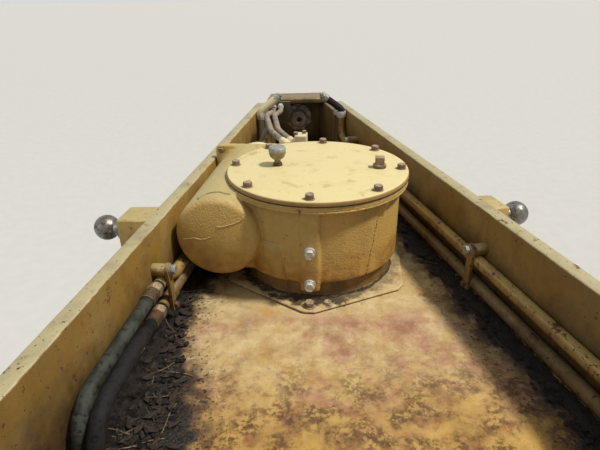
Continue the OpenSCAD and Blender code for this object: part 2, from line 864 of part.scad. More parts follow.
module circle_teeth() {
    color(bare_steel) circle_frame() translate([0, 0, -ring_h + ledge_t]) linear_extrude(gear_face)
        difference() {
            circle(band_r, $fn = 180);
            polygon(gear_outline(ring_teeth, mesh_r - ring_add * tooth_module, root_r, backlash / 2));
        }
}

pinion_low = ring_top - ring_h + ledge_t - 6;
pinion_h = gear_face + 10;

module pinion() {
    pitch_r = tooth_module * pinion_teeth / 2;
    low = pitch_r - pinion_ded * tooth_module;
    spigot_low = deck_under - spigot_below;
    color(bare_steel) translate([0, -case_back, pinion_low]) {
        linear_extrude(pinion_h)
            polygon(gear_outline(pinion_teeth, low, pitch_r + pinion_add * tooth_module, -backlash / 2));
        cylinder(r = shaft_r, h = spigot_low - pinion_low + shaft_deep - 10);
        cylinder(r = shaft_r + 14, h = spigot_low - pinion_low - free_gap);
    }
}

module pinion_retainer() {
    color(old_iron) translate([0, -case_back, pinion_low - 14]) cylinder(r = shaft_r + 16, h = 14);
}

// Guide shoes

// Angle at which a rail crosses the circle's rim; end is 1 in front of the centre, -1 behind it
function cross_angle(end) =
    let(t = tan(rail_splay), c = half_gap(circle_y) + across(rail_t / 2), r = rim_r,
        u = (c * t + end * sqrt(c * c * t * t - (1 + t * t) * (c * c - r * r))) / (1 + t * t))
    atan2(u, c - t * u);

// Four like sectors round the circle, from the radius r0 to r1 and from z0 down by h
module shoe_sectors(r0, r1, z0, h) {
    for (side = [-1, 1], end = [-1, 1]) on_side(side) translate([0, circle_y, z0 - h])
        rotate([0, 0, cross_angle(end) - shoe_half]) rotate_extrude(angle = 2 * shoe_half, $fn = 180)
            translate([r0, 0]) square([r1 - r0, h]);
}

module shoe_pads() {
    color(paint) shoe_sectors(rim_r - 90, rim_r + shoe_w, deck_under, pad_t);
}

module shoe_blocks() {
    color(old_iron) shoe_sectors(rim_r + 1, rim_r + shoe_w, deck_under - pad_t, wear_t + lip_t + 2 * seat_gap);
}

module wear_strips() {
    color(bronze) shoe_sectors(web_out, rim_r + 1 - seat_gap, deck_under - pad_t, wear_t);
}

module shoe_clips() {
    color(old_iron) shoe_sectors(web_out + lip_weld + free_gap, rim_r + shoe_w, ring_top - lip_t - seat_gap, clip_t);
}

// Blade arms

arm_front = [215, -64];
arm_rear = [-232, -64];
arm_corner_r = 64;
pivot = [-pivot_back, -pivot_drop];
tilt = [-pivot_back + 215, -pivot_drop + 150];
tie = [-pivot_back - 10, -pivot_drop + 190];

module arm_outline() {
    link(arm_front, arm_corner_r, pivot, pivot_eye_r);
    link(arm_rear, arm_corner_r, pivot, pivot_eye_r);
    link(arm_front, arm_corner_r, tilt, 52);
    link(pivot, pivot_eye_r, tilt, 52);
    translate([arm_rear[0], -arm_corner_r]) square([arm_front[0] - arm_rear[0], arm_corner_r]);
    translate([arm_rear[0] - arm_corner_r, -arm_corner_r]) square([arm_corner_r, arm_corner_r]);
    translate([arm_front[0], -arm_corner_r]) square([arm_corner_r, arm_corner_r]);
    polygon([arm_front, arm_rear, pivot, tilt]);
}

module blade_arm(side) {
    color(paint) on_side(side) translate([arm_x, circle_y, ring_under]) rotate([90, 0, 90]) difference() {
        union() {
            translate([0, 0, -arm_t / 2]) linear_extrude(arm_t) arm_outline();
            translate([pivot[0], pivot[1], -arm_t / 2 - pivot_boss])
                cylinder(r = pivot_eye_r - 14, h = arm_t + 2 * pivot_boss);
        }
        translate([pivot[0], pivot[1], -arm_t]) cylinder(r = pivot_bore_r, h = 2 * arm_t);
        translate([tilt[0], tilt[1], -arm_t]) cylinder(r = tilt_bore_r, h = 2 * arm_t);
    }
}

module arm_tie() {
    l = 2 * arm_x - arm_t;
    color(paint) translate([-l / 2, circle_y + tie[0], ring_under + tie[1]]) rotate([0, 90, 0])
        cylinder(r = tie_r, h = l);
}

rail(-1);  // rail_left
rail(1);  // rail_right
deck_plate();
rear_crossmember();
nose_cheek(-1);  // nose_cheek_left
nose_cheek(1);  // nose_cheek_right
nose_end_plate();
nose_bridge();
ball_stud();
ball_cap();
gear_case();
case_lid();
breather();
filler_plug();
level_plugs();
drive_motor();
motor_hose(1);  // motor_hose_upper
motor_hose(0);  // motor_hose_lower
hose_bracket();
tube_left(high_z, high_z - left_high_z, riser_upper_y);  // tube_left_upper
tube_left(low_z, low_z - left_low_z, riser_lower_y);  // tube_left_lower
hose_left_outer();
hose_left_inner();
deck_unions();
tube_right(high_z, riser_upper_y);  // tube_right_upper
tube_right(low_z, riser_lower_y);  // tube_right_lower
clamps_left();
clamps_right();
lift_arm(-1);  // lift_arm_left
lift_arm(1);  // lift_arm_right
lift_ball(-1);  // lift_ball_left
lift_ball(1);  // lift_ball_right
side_shift_bracket();
side_shift_ball();
shoe_pads();
shoe_blocks();
shoe_clips();
wear_strips();
circle_ring();
circle_teeth();
blade_arm(-1);  // blade_arm_left
blade_arm(1);  // blade_arm_right
arm_tie();
pinion();
pinion_retainer();
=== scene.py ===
# %% [markdown]
# # A drawbar with its circle drive, dressed for the camera
# A grader's drawbar is a long A-shaped frame of welded plate. On its deck stands a cast gear case,
# and under it hangs the toothed circle that the case turns. The exact solids are loaded first, and
# every later cell adds what a solid model leaves out: rounded edges, welds, bolts, worn paint,
# grease and dirt. Everything is in metres, in the solids' own frame.

# %% Load the frame
import json
import math
import random

import bmesh
import bpy
from mathutils import Matrix, Vector, noise

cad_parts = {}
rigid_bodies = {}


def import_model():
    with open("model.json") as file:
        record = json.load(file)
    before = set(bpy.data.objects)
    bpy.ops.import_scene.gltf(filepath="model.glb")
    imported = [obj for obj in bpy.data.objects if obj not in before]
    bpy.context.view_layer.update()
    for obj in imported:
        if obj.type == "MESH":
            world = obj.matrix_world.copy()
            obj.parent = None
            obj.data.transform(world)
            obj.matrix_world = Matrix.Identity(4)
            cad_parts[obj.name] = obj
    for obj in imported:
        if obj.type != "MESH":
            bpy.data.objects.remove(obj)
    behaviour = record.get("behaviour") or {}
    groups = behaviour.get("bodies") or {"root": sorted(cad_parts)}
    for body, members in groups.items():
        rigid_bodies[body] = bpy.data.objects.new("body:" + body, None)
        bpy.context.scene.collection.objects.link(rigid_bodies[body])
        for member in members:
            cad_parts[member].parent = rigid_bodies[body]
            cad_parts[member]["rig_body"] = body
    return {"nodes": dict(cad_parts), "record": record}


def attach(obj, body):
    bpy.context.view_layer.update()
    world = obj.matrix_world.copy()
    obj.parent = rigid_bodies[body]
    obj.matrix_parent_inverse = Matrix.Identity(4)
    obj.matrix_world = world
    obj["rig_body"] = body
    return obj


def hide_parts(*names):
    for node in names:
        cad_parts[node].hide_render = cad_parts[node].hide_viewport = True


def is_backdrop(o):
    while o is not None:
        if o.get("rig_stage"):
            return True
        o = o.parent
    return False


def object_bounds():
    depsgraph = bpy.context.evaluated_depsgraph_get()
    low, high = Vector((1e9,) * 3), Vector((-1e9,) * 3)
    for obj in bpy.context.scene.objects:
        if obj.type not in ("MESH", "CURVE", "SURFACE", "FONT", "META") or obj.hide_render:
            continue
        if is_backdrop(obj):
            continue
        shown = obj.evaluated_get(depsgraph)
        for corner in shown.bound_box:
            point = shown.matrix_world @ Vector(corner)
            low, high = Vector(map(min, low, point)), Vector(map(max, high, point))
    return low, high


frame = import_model()
SOLIDS = frame["nodes"]
CAD_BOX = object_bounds()
OWNER = {node: obj["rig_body"] for node, obj in SOLIDS.items()}
SLOT = {part["node"]: part["material_slot"] for part in frame["record"]["subparts"]}
print("solids:", len(SOLIDS), "box:", [tuple(round(c, 3) for c in corner) for corner in CAD_BOX])

# %% [markdown]
# ## Camera
# The viewpoint was worked out from the round lid and the straight rails: above the wide end of the
# frame, looking forwards and down. The lens is a little wider than normal.

# %% Camera
EYE = Vector((-0.091, -2.470, 0.561))
YAW, PITCH, ROLL = (math.radians(a) for a in (2.21, 26.02, -1.01))
ahead = Vector((math.sin(YAW) * math.cos(PITCH), math.cos(YAW) * math.cos(PITCH), -math.sin(PITCH)))
right = Vector((math.cos(YAW), -math.sin(YAW), 0.0))
above = right.cross(ahead)
cam_x = right * math.cos(ROLL) + above * math.sin(ROLL)
cam_y = above * math.cos(ROLL) - right * math.sin(ROLL)
lens = bpy.data.cameras.new("camera")
lens.sensor_width, lens.lens = 36.0, 29.62
lens.clip_start, lens.clip_end = 0.02, 200.0
camera = bpy.data.objects.new("camera", lens)
camera.matrix_world = Matrix.Translation(EYE) @ Matrix((cam_x, cam_y, -ahead)).transposed().to_4x4()
bpy.context.scene.collection.objects.link(camera)
bpy.context.scene.camera = camera

# %% [markdown]
# ## Hands and tools
# A few helpers do by code what a hand does with the mouse: clear the selection, make an object
# active, pick faces by their place, place copies, and let one mesh take over from a solid.

# %% Helpers for modelling
TOUCHING = 1e-5
Y, Z = Vector((0, 1, 0)), Vector((0, 0, 1))


def only(obj):
    """Makes obj the one selected and active object."""
    bpy.ops.object.select_all(action="DESELECT")
    obj.select_set(True)
    bpy.context.view_layer.objects.active = obj
    return obj


def pick(obj, test):
    """In edit mode, selects the faces whose centre and normal pass the test."""
    bpy.ops.mesh.select_all(action="DESELECT")
    mesh = bmesh.from_edit_mesh(obj.data)
    for face in mesh.faces:
        if test(face.calc_center_median(), face.normal):
            face.select_set(True)
    bmesh.update_edit_mesh(obj.data)


def primitive(kind, **settings):
    """Adds a primitive with nothing else selected, and returns it."""
    bpy.ops.object.select_all(action="DESELECT")
    getattr(bpy.ops.mesh, "primitive_" + kind + "_add")(**settings)
    return bpy.context.object


def settle(obj):
    """Puts an object's place into its mesh."""
    only(obj)
    bpy.ops.object.transform_apply(location=True, rotation=True, scale=True)
    return obj


def modify(obj, kind, **settings):
    """Adds a modifier and applies it."""
    only(obj)
    step = obj.modifiers.new(kind.lower(), kind)
    for key, value in settings.items():
        setattr(step, key, value)
    bpy.ops.object.modifier_apply(modifier=step.name)
    return obj


def soften(obj, width, segments=2):
    """Rounds the edges that are sharper than forty degrees."""
    sharp = math.radians(40)
    return modify(obj, "BEVEL", width=width, segments=segments, limit_method="ANGLE", angle_limit=sharp)


def smooth(obj, angle=35):
    """Shades an object smooth, but for the edges that are sharper than an angle."""
    only(obj)
    bpy.ops.object.shade_smooth_by_angle(angle=math.radians(angle))
    return obj


def tidy_up(obj):
    """Merges doubles and turns all faces outwards."""
    only(obj)
    bpy.ops.object.mode_set(mode="EDIT")
    bpy.ops.mesh.select_all(action="SELECT")
    bpy.ops.mesh.remove_doubles(threshold=TOUCHING)
    bpy.ops.mesh.normals_make_consistent(inside=False)
    bpy.ops.object.mode_set(mode="OBJECT")
    return obj


def join(objects, name):
    """Joins objects into one, under a new name."""
    bpy.ops.object.select_all(action="DESELECT")
    for obj in objects:
        obj.select_set(True)
    bpy.context.view_layer.objects.active = objects[0]
    if len(objects) > 1:
        bpy.ops.object.join()
    objects[0].name = objects[0].data.name = name
    return objects[0]


def aim(place, direction, turn=0.0):
    """Matrix that carries a piece from the origin, where it points up, to a place and direction."""
    spin = direction.to_track_quat("Z", "Y").to_matrix().to_4x4()
    return Matrix.Translation(place) @ spin @ Matrix.Rotation(turn, 4, "Z")


def set_out(model, matrices, name):
    """Copies a model to each matrix, each copy with its own mesh, and joins them."""
    made = []
    for matrix in matrices:
        mesh = model.data.copy()
        mesh.transform(matrix)
        copy = bpy.data.objects.new(name, mesh)
        bpy.context.scene.collection.objects.link(copy)
        made.append(copy)
    return join(made, name)


def copy_of(node, name, flat=0.3):
    """Merged copy of a solid's mesh, with its flat faces made whole."""
    obj = bpy.data.objects.new(name, SOLIDS[node].data.copy())
    bpy.context.scene.collection.objects.link(obj)
    only(obj)
    bpy.ops.object.mode_set(mode="EDIT")
    bpy.ops.mesh.select_all(action="SELECT")
    bpy.ops.mesh.remove_doubles(threshold=TOUCHING)
    bpy.ops.mesh.dissolve_limited(angle_limit=math.radians(flat))
    bpy.ops.object.mode_set(mode="OBJECT")
    obj.data.materials.clear()
    return obj


def hand_over(obj, slot, *materials, takes=(), body="drawbar"):
    """Gives a finished piece its materials, its body and the solids that it stands for. Its slot is not used.
    """
    obj.data.materials.clear()
    for material in materials:
        obj.data.materials.append(material)
    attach(obj, body)
    if takes:
        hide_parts(*takes)
    return obj


def second_finish(obj, test, index=1):
    """Gives the faces whose centre and normal pass the test another of the piece's materials."""
    for face in obj.data.polygons:
        if test(face.center, face.normal):
            face.material_index = index


# %% [markdown]
# ## Places on the frame
# The rails splay by ten degrees and the gear case is turned by nine, so most places are easier to
# say in a rail's or the case's own directions. These functions turn them into the drawbar's frame.

# %% Places on the frame
SPLAY, CASE_TURN = math.radians(10), math.radians(9)

# Stations along the frame and heights in it
CASE_Y, RAIL_FRONT = -1.300, -0.300
LID_TOP, DECK_TOP, DECK_UNDER = 0.150, -0.118, -0.138
BODY_LOW, BASE_TOP = LID_TOP - 0.214, DECK_TOP + 0.008
GAP_AT_CASE, RAIL_T = 0.660, 0.032

# The lines beside the rails, and the feet of the brackets on them
LINE_OFF, HIGH_Z, LOW_Z, DIP = 0.0143, -0.015, -0.072, 0.0231
LIFT_BACK, SHIFT_BACK, SHIFT_Z = 0.945, 1.640, DECK_TOP + 0.120

# The case's worm, plugs and motor flanges, in the case's own frame with the lid's top as zero
WORM_X, WORM_Z, WORM_R = -0.217, -0.113, 0.100
BOSS_FACE, PLUG_HIGH, PLUG_LOW = -0.215, -0.126, -0.210
MOTOR_FLANGE, MOTOR_FOOT = 0.206, 0.244

# The circle, its shoes and the pinion's retainer
CIRCLE = Vector((0, -1.786, 0))
RING_TOP, RING_UNDER, RETAINER_UNDER = -0.1703, -0.2823, -0.2843
RIM_R, SHOE_BOLT_R, CLIP_UNDER = 0.6696, 0.690, RING_TOP - 0.0483


def half_gap(y):
    """Half of the clear width between the rails at the station y."""
    return GAP_AT_CASE / 2 - (y - CASE_Y) * math.tan(SPLAY)


def beside(side, y, off, z):
    """Point beside a rail, at the distance off from its inner face."""
    return Vector((side * (half_gap(y) - off / math.cos(SPLAY)), y, z))


def on_rail(side, back, out, z):
    """Point on a rail: the distance back along it from its front end, and out from its inner face."""
    return Vector((side * half_gap(RAIL_FRONT), RAIL_FRONT, z)) - along(side) * back - inward(side) * out


def along(side):
    """Direction of a rail, towards the nose."""
    return Vector((-side * math.sin(SPLAY), math.cos(SPLAY), 0))


def inward(side):
    """Direction square to a rail's inner face, into the frame."""
    return Vector((-side * math.cos(SPLAY), -math.sin(SPLAY), 0))


TO_CASE = Matrix.Translation((0, CASE_Y, LID_TOP)) @ Matrix.Rotation(-CASE_TURN, 4, "Z")


def case_point(x, y, z):
    """Point given in the case's own frame."""
    return TO_CASE @ Vector((x, y, z))


def round_case(radius, angle, z):
    """Point at a radius and an angle in degrees round the case."""
    return case_point(radius * math.cos(math.radians(angle)), radius * math.sin(math.radians(angle)), z)


def case_way(x, y, z):
    """Direction given in the case's own frame."""
    return TO_CASE.to_3x3() @ Vector((x, y, z)).normalized()


# %% [markdown]
# ## Colours and shader nodes
# Colours are written as they look on a screen and turned to linear light by one function. One small
# function adds a node with its settings and links. Wear, dust and rust all come in spots, so a
# pattern of noise is made once, with a scale of one over the size of its grain in metres: 1 / 0.02
# gives spots about twenty millimetres wide. Coats are then laid over each other, as they were in
# life, each one only where all of its masks meet.

# %% Colour and node helpers
SOFT = {"interpolation_type": "SMOOTHSTEP"}


def tone(code):
    """sRGB hex to linear RGBA."""
    parts = [int(code[i : i + 2], 16) / 255 for i in (1, 3, 5)]
    return (*(c / 12.92 if c <= 0.04045 else ((c + 0.055) / 1.055) ** 2.4 for c in parts), 1.0)


def add(tree, kind, inputs=None, out=0, **settings):
    """Adds a node with its settings, gives its inputs values, hex colours or links, and returns an output."""
    made = tree.nodes.new("ShaderNode" + kind)
    for key, value in settings.items():
        setattr(made, key, value)
    for key, value in (inputs or {}).items():
        if isinstance(value, bpy.types.NodeSocket):
            tree.links.new(value, made.inputs[key])
        else:
            made.inputs[key].default_value = tone(value) if isinstance(value, str) else value
    return made.outputs[out]


def start(name):
    """New material and its tree."""
    material = bpy.data.materials.new(name)
    material.use_nodes = True
    return material, material.node_tree


def dress(material, colour, rough, height, depth):
    """Gives the shader its colour, its roughness and bumps of a depth in metres."""
    tree = material.node_tree
    bump = add(tree, "Bump", {"Height": height, "Distance": depth})
    for name, source in (("Base Color", colour), ("Roughness", rough), ("Normal", bump)):
        tree.links.new(source, tree.nodes["Principled BSDF"].inputs[name])
    return material


def axis(tree, letter):
    """Place on the piece along one axis of the frame, in metres."""
    return add(tree, "SeparateXYZ", {0: add(tree, "TexCoord", out="Object")}, out=letter)


def facing_up(tree):
    """1 where a face looks up, 0 where it stands upright, -1 where it looks down."""
    return add(tree, "SeparateXYZ", {0: add(tree, "NewGeometry", out="Normal")}, out="Z")


def spots(tree, size, low, high, detail=4.0, rough=0.6, stretch=(1, 1, 1), shift=0.0):
    """Mask of noise with grains of a size in metres: 0 below the level low, 1 above the level high."""
    place = add(tree, "TexCoord", out="Object")
    mapped = add(tree, "Mapping", {0: place, "Location": (shift, shift, shift), "Scale": stretch})
    noise_in = {"Vector": mapped, "Scale": 1 / size, "Detail": detail, "Roughness": rough}
    return add(tree, "MapRange", {0: add(tree, "TexNoise", noise_in), 1: low, 2: high}, **SOFT)


def coat(tree, below, upon, *masks):
    """Lays a colour upon another where all the masks, which are sockets or numbers, are near 1."""
    mask = masks[0]
    for other in masks[1:]:
        mask = add(tree, "Math", {0: mask, 1: other}, operation="MULTIPLY")
    return add(tree, "Mix", {0: mask, 6: below, 7: upon}, out=2, data_type="RGBA")


def mottle(tree, first, second, size, low, high, detail=6):
    """Two colours in patches of a size."""
    return coat(tree, first, second, spots(tree, size, low, high, detail))


# %% [markdown]
# ## Faded enamel on rolled plate
# Alkyd machine enamel was sprayed on hot-rolled plate. Years of sun fade it to cream where it faces
# up, rain draws brown streaks down its sides, boots rub its upper edges and stones chip it to dark
# primer and rust. The pale rub on upper edges is also a painted highlight. The colour is mixed from a
# fresh and a faded tone by the way a face looks, then streaked, spotted and chipped. Each chip is a
# shallow dent, so it catches the light at its rim.

# %% Enamel
def enamel(name, fresh, faded, dirt="#4E3A20", chip="#3B291D", wear=0.5, grime=0.5, coarse=0.0,
           shine=0.5, edge=0.5, streak=0.6, foot=None):
    """Enamel coat. foot gives the heights where a darker lower tone starts and is full, and its two colours.
    """
    material, tree = start(name)
    up = facing_up(tree)
    colour = coat(tree, fresh, coat(tree, fresh, faded, 0.40), spots(tree, 0.22, 0.36, 0.66))
    # Towards the bottom and the rear the coat takes a darker lower tone.
    if foot:
        top, full, lower_tone, deep_lower_tone = foot
        wander = spots(tree, 0.11, 0.2, 0.8, detail=7, shift=4.1)
        height = add(tree, "Math", {0: wander, 1: -0.09, 2: axis(tree, "Z")}, operation="MULTIPLY_ADD")
        low = add(tree, "MapRange", {0: height, 1: top, 2: full}, **SOFT)
        rear = add(tree, "MapRange", {0: axis(tree, "Y"), 1: -1.05, 2: -2.1, 4: 0.45}, **SOFT)
        low = add(tree, "Math", {0: low, 1: rear}, operation="MAXIMUM")
        colour = coat(tree, colour, mottle(tree, lower_tone, deep_lower_tone, 0.02, 0.3, 0.7), low)
    lying = add(tree, "MapRange", {0: up, 1: 0.55, 2: 0.97}, **SOFT)
    colour = coat(tree, colour, faded, lying, spots(tree, 0.05, 0.20, 0.45))
    # Upper edges, where a face turns from upright to flat, take the pale tone #CFC2A2: rubbed wear and a
    # painted highlight.
    edge_rub_and_highlight = add(tree, "MapRange", {0: up, 1: 0.18, 2: 0.45}, **SOFT)
    not_flat = add(tree, "MapRange", {0: up, 1: 0.93, 2: 0.75}, **SOFT)
    rubbed = spots(tree, 0.035, 0.38, 0.60, shift=2.2)
    colour = coat(tree, colour, "#CFC2A2", edge_rub_and_highlight, not_flat, rubbed, edge)
    upright = add(tree, "MapRange", {0: up, 1: 0.6, 2: 0.2}, **SOFT)
    streaks = spots(tree, 0.030, 0.47, 0.72, stretch=(1, 1, 0.09), shift=3.1)
    colour = coat(tree, colour, dirt, streaks, upright, grime * streak)
    film = spots(tree, 0.10, 0.46, 0.78, detail=8, rough=0.7, shift=7.7)
    colour = coat(tree, colour, dirt, film, grime * 0.8)
    colour = coat(tree, colour, dirt, spots(tree, 0.0055, 0.58, 0.70, shift=6.6), grime * 0.35)
    pits = spots(tree, 0.010, 0.69 - 0.05 * wear, 0.73 - 0.05 * wear, detail=3, shift=1.3)
    scabs, halo = (spots(tree, 0.050, low - 0.07 * wear, 0.73 - 0.07 * wear, detail=7, rough=0.65, shift=5.9)
                   for low in (0.715, 0.66))
    bare = add(tree, "Math", {0: pits, 1: scabs}, operation="MAXIMUM")
    colour = coat(tree, colour, "#7A4E26", halo, 0.45)
    colour = coat(tree, colour, mottle(tree, chip, "#6B4126", 0.006, 0.35, 0.65, detail=4), bare)
    rough = add(tree, "MapRange", {0: film, 3: 0.66 - 0.25 * shine, 4: 0.88})
    grain = spots(tree, 0.0045 if coarse else 0.0020, 0.2, 0.8, detail=3)
    dents = add(tree, "Math", {0: bare, 1: -0.8}, operation="MULTIPLY")
    height = add(tree, "Math", {0: grain, 1: 0.25 + coarse, 2: dents}, operation="MULTIPLY_ADD")
    return dress(material, colour, rough, height, 0.0009)


PLATE = enamel("faded_plate_enamel", "#AC8E46", "#AD9C69", wear=0.80, grime=0.50, streak=0.40)
# The rails' inner faces take a darker copy of the plate enamel, soot and painted shade, and darken further
# towards the deck: painted shade with soot.
INNER_SHADE = enamel("inner_enamel_soot_and_painted_shade", "#8B6B2A", "#9C8A57", dirt="#3C2B12", wear=0.85, streak=0.35,
               foot=(0.060, -0.105, "#4A3516", "#33250F"))
# The rails' tops take a greyer, darker enamel than the plate's faded tone: dust and painted shade.
TOP_DUST_SHADE = enamel("top_enamel_dust_and_painted_shade", "#93845A", "#A59B76", dirt="#5A4E38", wear=0.90, grime=0.8)
# A dark brown enamel for the nose plates: grime and painted shade.
GRIME_SHADE = enamel("plate_enamel_grime_and_painted_shade", "#5E4A26", "#7A6840", dirt="#1E1712", grime=1.0, shine=0.8)
# A near-black brown enamel for the hose bracket.
NEAR_BLACK = enamel("near_black_plate_enamel", "#33281A", "#4A3C26", dirt="#120D09", grime=0.8, shine=0.6)
FORGED = enamel("case_enamel", "#C6A359", "#AFA06A", dirt="#6B4C24", wear=0.12, grime=0.42, coarse=0.8,
                shine=0.6, edge=0.12, streak=0.25, foot=(0.010, -0.115, "#B88C42", "#94692D"))
STAINED = enamel("stained_foot_enamel", "#7A5C2C", "#8A7040", dirt="#2E2112", wear=0.4, grime=0.9,
                 coarse=0.8, streak=0.4)
LID = enamel("lid_enamel", "#9C8350", "#D2C48F", dirt="#8A6C3C", wear=0.0, grime=0.22, edge=0.1, streak=0.4)
# The lid's sides take a browner enamel than its top: painted shade.
LID_SIDE_SHADE = enamel("lid_side_enamel_painted_shade", "#A8844A", "#A0854F", dirt="#5A4020", wear=0.15, grime=0.6,
                  edge=0.05, streak=0.4)
CREAM = enamel("cream_enamel", "#CFC49A", "#D2C8A2", dirt="#7E6B42", wear=0.10, grime=0.35, coarse=0.5)
PIPE = enamel("pipe_enamel", "#8A6C32", "#B3964F", dirt="#2A2013", chip="#1A140E", wear=1.55, grime=0.7,
              shine=0.4, edge=0.10)
# The lower lines take a darker enamel: grease and painted shade.
LOW_PIPE_SHADE = enamel("pipe_enamel_grease_and_painted_shade", "#5E4822", "#7E6738", dirt="#15100A", chip="#100C08", wear=1.20,
                  grime=1.0, shine=0.35, edge=0.04)
STRAP_COAT = enamel("worn_strap_enamel", "#7C6030", "#90763F", dirt="#2C1F12", chip="#2A1D12", wear=1.5,
                    grime=0.9, shine=0.3, edge=0.1)

# %% [markdown]
# ## The deck's worn coat
# The deck is the part that boots, stones and spilt oil reach. In the middle the enamel is rubbed
# through to pinkish primer and speckled with rust, and beside each rail it drowns in black grease,
# more so on the left, where the hoses drip. The distance to the nearer rail is worked out from the
# object coordinates and drives that change. Soil also lies round the foot of the gear case. Faces
# that look down keep a plain dusty coat.

# %% Deck coat
def deck_coat():
    """Enamel that wears by its distance from the rear, from the rails and from the case."""
    material, tree = start("worn_deck_enamel")
    across, back = axis(tree, "X"), axis(tree, "Y")
    colour = mottle(tree, "#9E7A3A", "#B8944A", 0.07, 0.35, 0.65)
    far = add(tree, "MapRange", {0: back, 1: -1.93, 2: -1.62}, **SOFT)
    dusty = spots(tree, 0.14, 0.26, 0.52, detail=8, rough=0.7, shift=9.0)
    colour = coat(tree, colour, mottle(tree, "#B59D6C", "#C6B286", 0.03, 0.35, 0.65), dusty, far)
    ahead_of_rear = add(tree, "MapRange", {0: back, 1: -1.98, 2: -1.78}, **SOFT)
    behind_case = add(tree, "MapRange", {0: back, 1: -1.50, 2: -1.60}, **SOFT)
    rubbed = spots(tree, 0.17, 0.45, 0.60, detail=9, rough=0.75, shift=4.0)
    primer = mottle(tree, "#A98068", "#966650", 0.04, 0.4, 0.6)
    colour = coat(tree, colour, primer, rubbed, ahead_of_rear, behind_case, 0.85)

    near_brown = add(tree, "MapRange", {0: back, 1: -1.60, 2: -1.88, 3: 0.12, 4: 0.87}, **SOFT)
    brown = spots(tree, 0.055, 0.46, 0.64, detail=9, rough=0.72, shift=6.0)
    brown = add(tree, "Math", {0: brown, 1: near_brown}, operation="MULTIPLY")
    colour = coat(tree, colour, mottle(tree, "#8A5A30", "#6A4228", 0.02, 0.4, 0.6, detail=5), brown)
    near_rust = add(tree, "MapRange", {0: back, 1: -1.60, 2: -1.88, 4: 0.85}, **SOFT)
    in_brown = add(tree, "Math", {0: brown, 1: 0.5}, operation="MULTIPLY")
    rust = add(tree, "Math", {0: near_rust, 1: in_brown}, operation="MAXIMUM")
    for grains in (spots(tree, 0.055, 0.40, 0.60, detail=5, shift=5.5),
                   spots(tree, 0.013, 0.45, 0.56, detail=7, rough=0.75, shift=1.0)):
        rust = add(tree, "Math", {0: rust, 1: grains}, operation="MULTIPLY")
    colour = coat(tree, colour, mottle(tree, "#5E3B22", "#3A2517", 0.01, 0.4, 0.6, detail=4), rust)
    colour = coat(tree, colour, "#5A3C24", spots(tree, 0.0032, 0.60, 0.69, detail=3, shift=8.0), 0.55)
    stain = spots(tree, 0.09, 0.50, 0.74, detail=8, rough=0.7, shift=12.0)
    colour = coat(tree, colour, "#5B4630", stain, 0.45)

    aside = add(tree, "Math", {0: across}, operation="ABSOLUTE")
    clear = add(tree, "Math", {0: back, 1: -math.tan(SPLAY), 2: half_gap(0)}, operation="MULTIPLY_ADD")
    margin = add(tree, "Math", {0: clear, 1: aside}, operation="SUBTRACT")
    left = add(tree, "MapRange", {0: across, 1: 0.05, 2: -0.05}, **SOFT)
    drips = add(tree, "MapRange", {0: back, 1: -1.50, 2: -1.95, 4: 0.120}, **SOFT)
    corner = add(tree, "MapRange", {0: back, 1: -1.93, 2: -2.15, 3: 0.034, 4: 0.144}, **SOFT)
    width = add(tree, "Math", {0: left, 1: drips, 2: corner}, operation="MULTIPLY_ADD")
    wander = spots(tree, 0.10, 0.25, 0.75, detail=9, rough=0.72, shift=2.0)
    width = add(tree, "Math", {0: wander, 1: 0.050, 2: width}, operation="MULTIPLY_ADD")
    near = add(tree, "Math", {0: margin, 1: width}, operation="SUBTRACT")
    fringe = add(tree, "MapRange", {0: near, 1: 0.055, 2: 0.0}, **SOFT)
    colour = coat(tree, colour, "#4A3422", fringe, spots(tree, 0.03, 0.30, 0.60, detail=7, shift=2.6))
    grease = add(tree, "MapRange", {0: near, 1: 0.012, 2: -0.012}, **SOFT)

    place = add(tree, "TexCoord", out="Object")
    foot = add(tree, "VectorMath", {0: place, 1: (0, CASE_Y, DECK_TOP)}, out="Value", operation="DISTANCE")
    ragged = spots(tree, 0.045, 0.30, 0.70, detail=9, rough=0.75, shift=5.1)
    foot = add(tree, "Math", {0: ragged, 1: -0.055, 2: foot}, operation="MULTIPLY_ADD")
    soil = add(tree, "MapRange", {0: foot, 1: 0.196, 2: 0.176}, **SOFT)
    less_right = add(tree, "MapRange", {0: across, 1: 0.02, 2: 0.14, 3: 0.92, 4: 0.40})
    around = add(tree, "MapRange", {0: near, 1: 0.10, 2: 0.0}, **SOFT)
    for extent, grains in ((soil, less_right), (around, spots(tree, 0.007, 0.56, 0.64, shift=3.3))):
        more = add(tree, "Math", {0: extent, 1: grains}, operation="MULTIPLY")
        grease = add(tree, "Math", {0: grease, 1: more}, operation="MAXIMUM")
    colour = coat(tree, colour, mottle(tree, "#14100D", "#30251B", 0.008, 0.4, 0.62), grease)

    under = add(tree, "MapRange", {0: facing_up(tree), 1: 0.3, 2: -0.3}, **SOFT)
    colour = coat(tree, colour, mottle(tree, "#876A33", "#64502C", 0.15, 0.4, 0.7, detail=8), under)
    rough = add(tree, "MapRange", {0: grease, 3: 0.72, 4: 0.42})
    pitted = add(tree, "Math", {0: rust, 1: -0.5}, operation="MULTIPLY")
    lumps = {0: spots(tree, 0.006, 0.3, 0.7, detail=5), 1: grease, 2: pitted}
    return dress(material, colour, rough, add(tree, "Math", lumps, operation="MULTIPLY_ADD"), 0.0018)


DECK = deck_coat()

# %% [markdown]
# ## Metals, rubber and dirt
# Unpainted iron here is never clean: the ball's cap is cast iron under dusty grease, and its flange
# and bolts are painted lighter, as painted light where they lie in shade. The other bolts are
# black-oxide steel gone brown, the plugs are zinc-plated and dull. The hoses are nitrile rubber with
# a cloth-marked cover. A metal keeps the default IOR, and oil is told by a lower roughness.

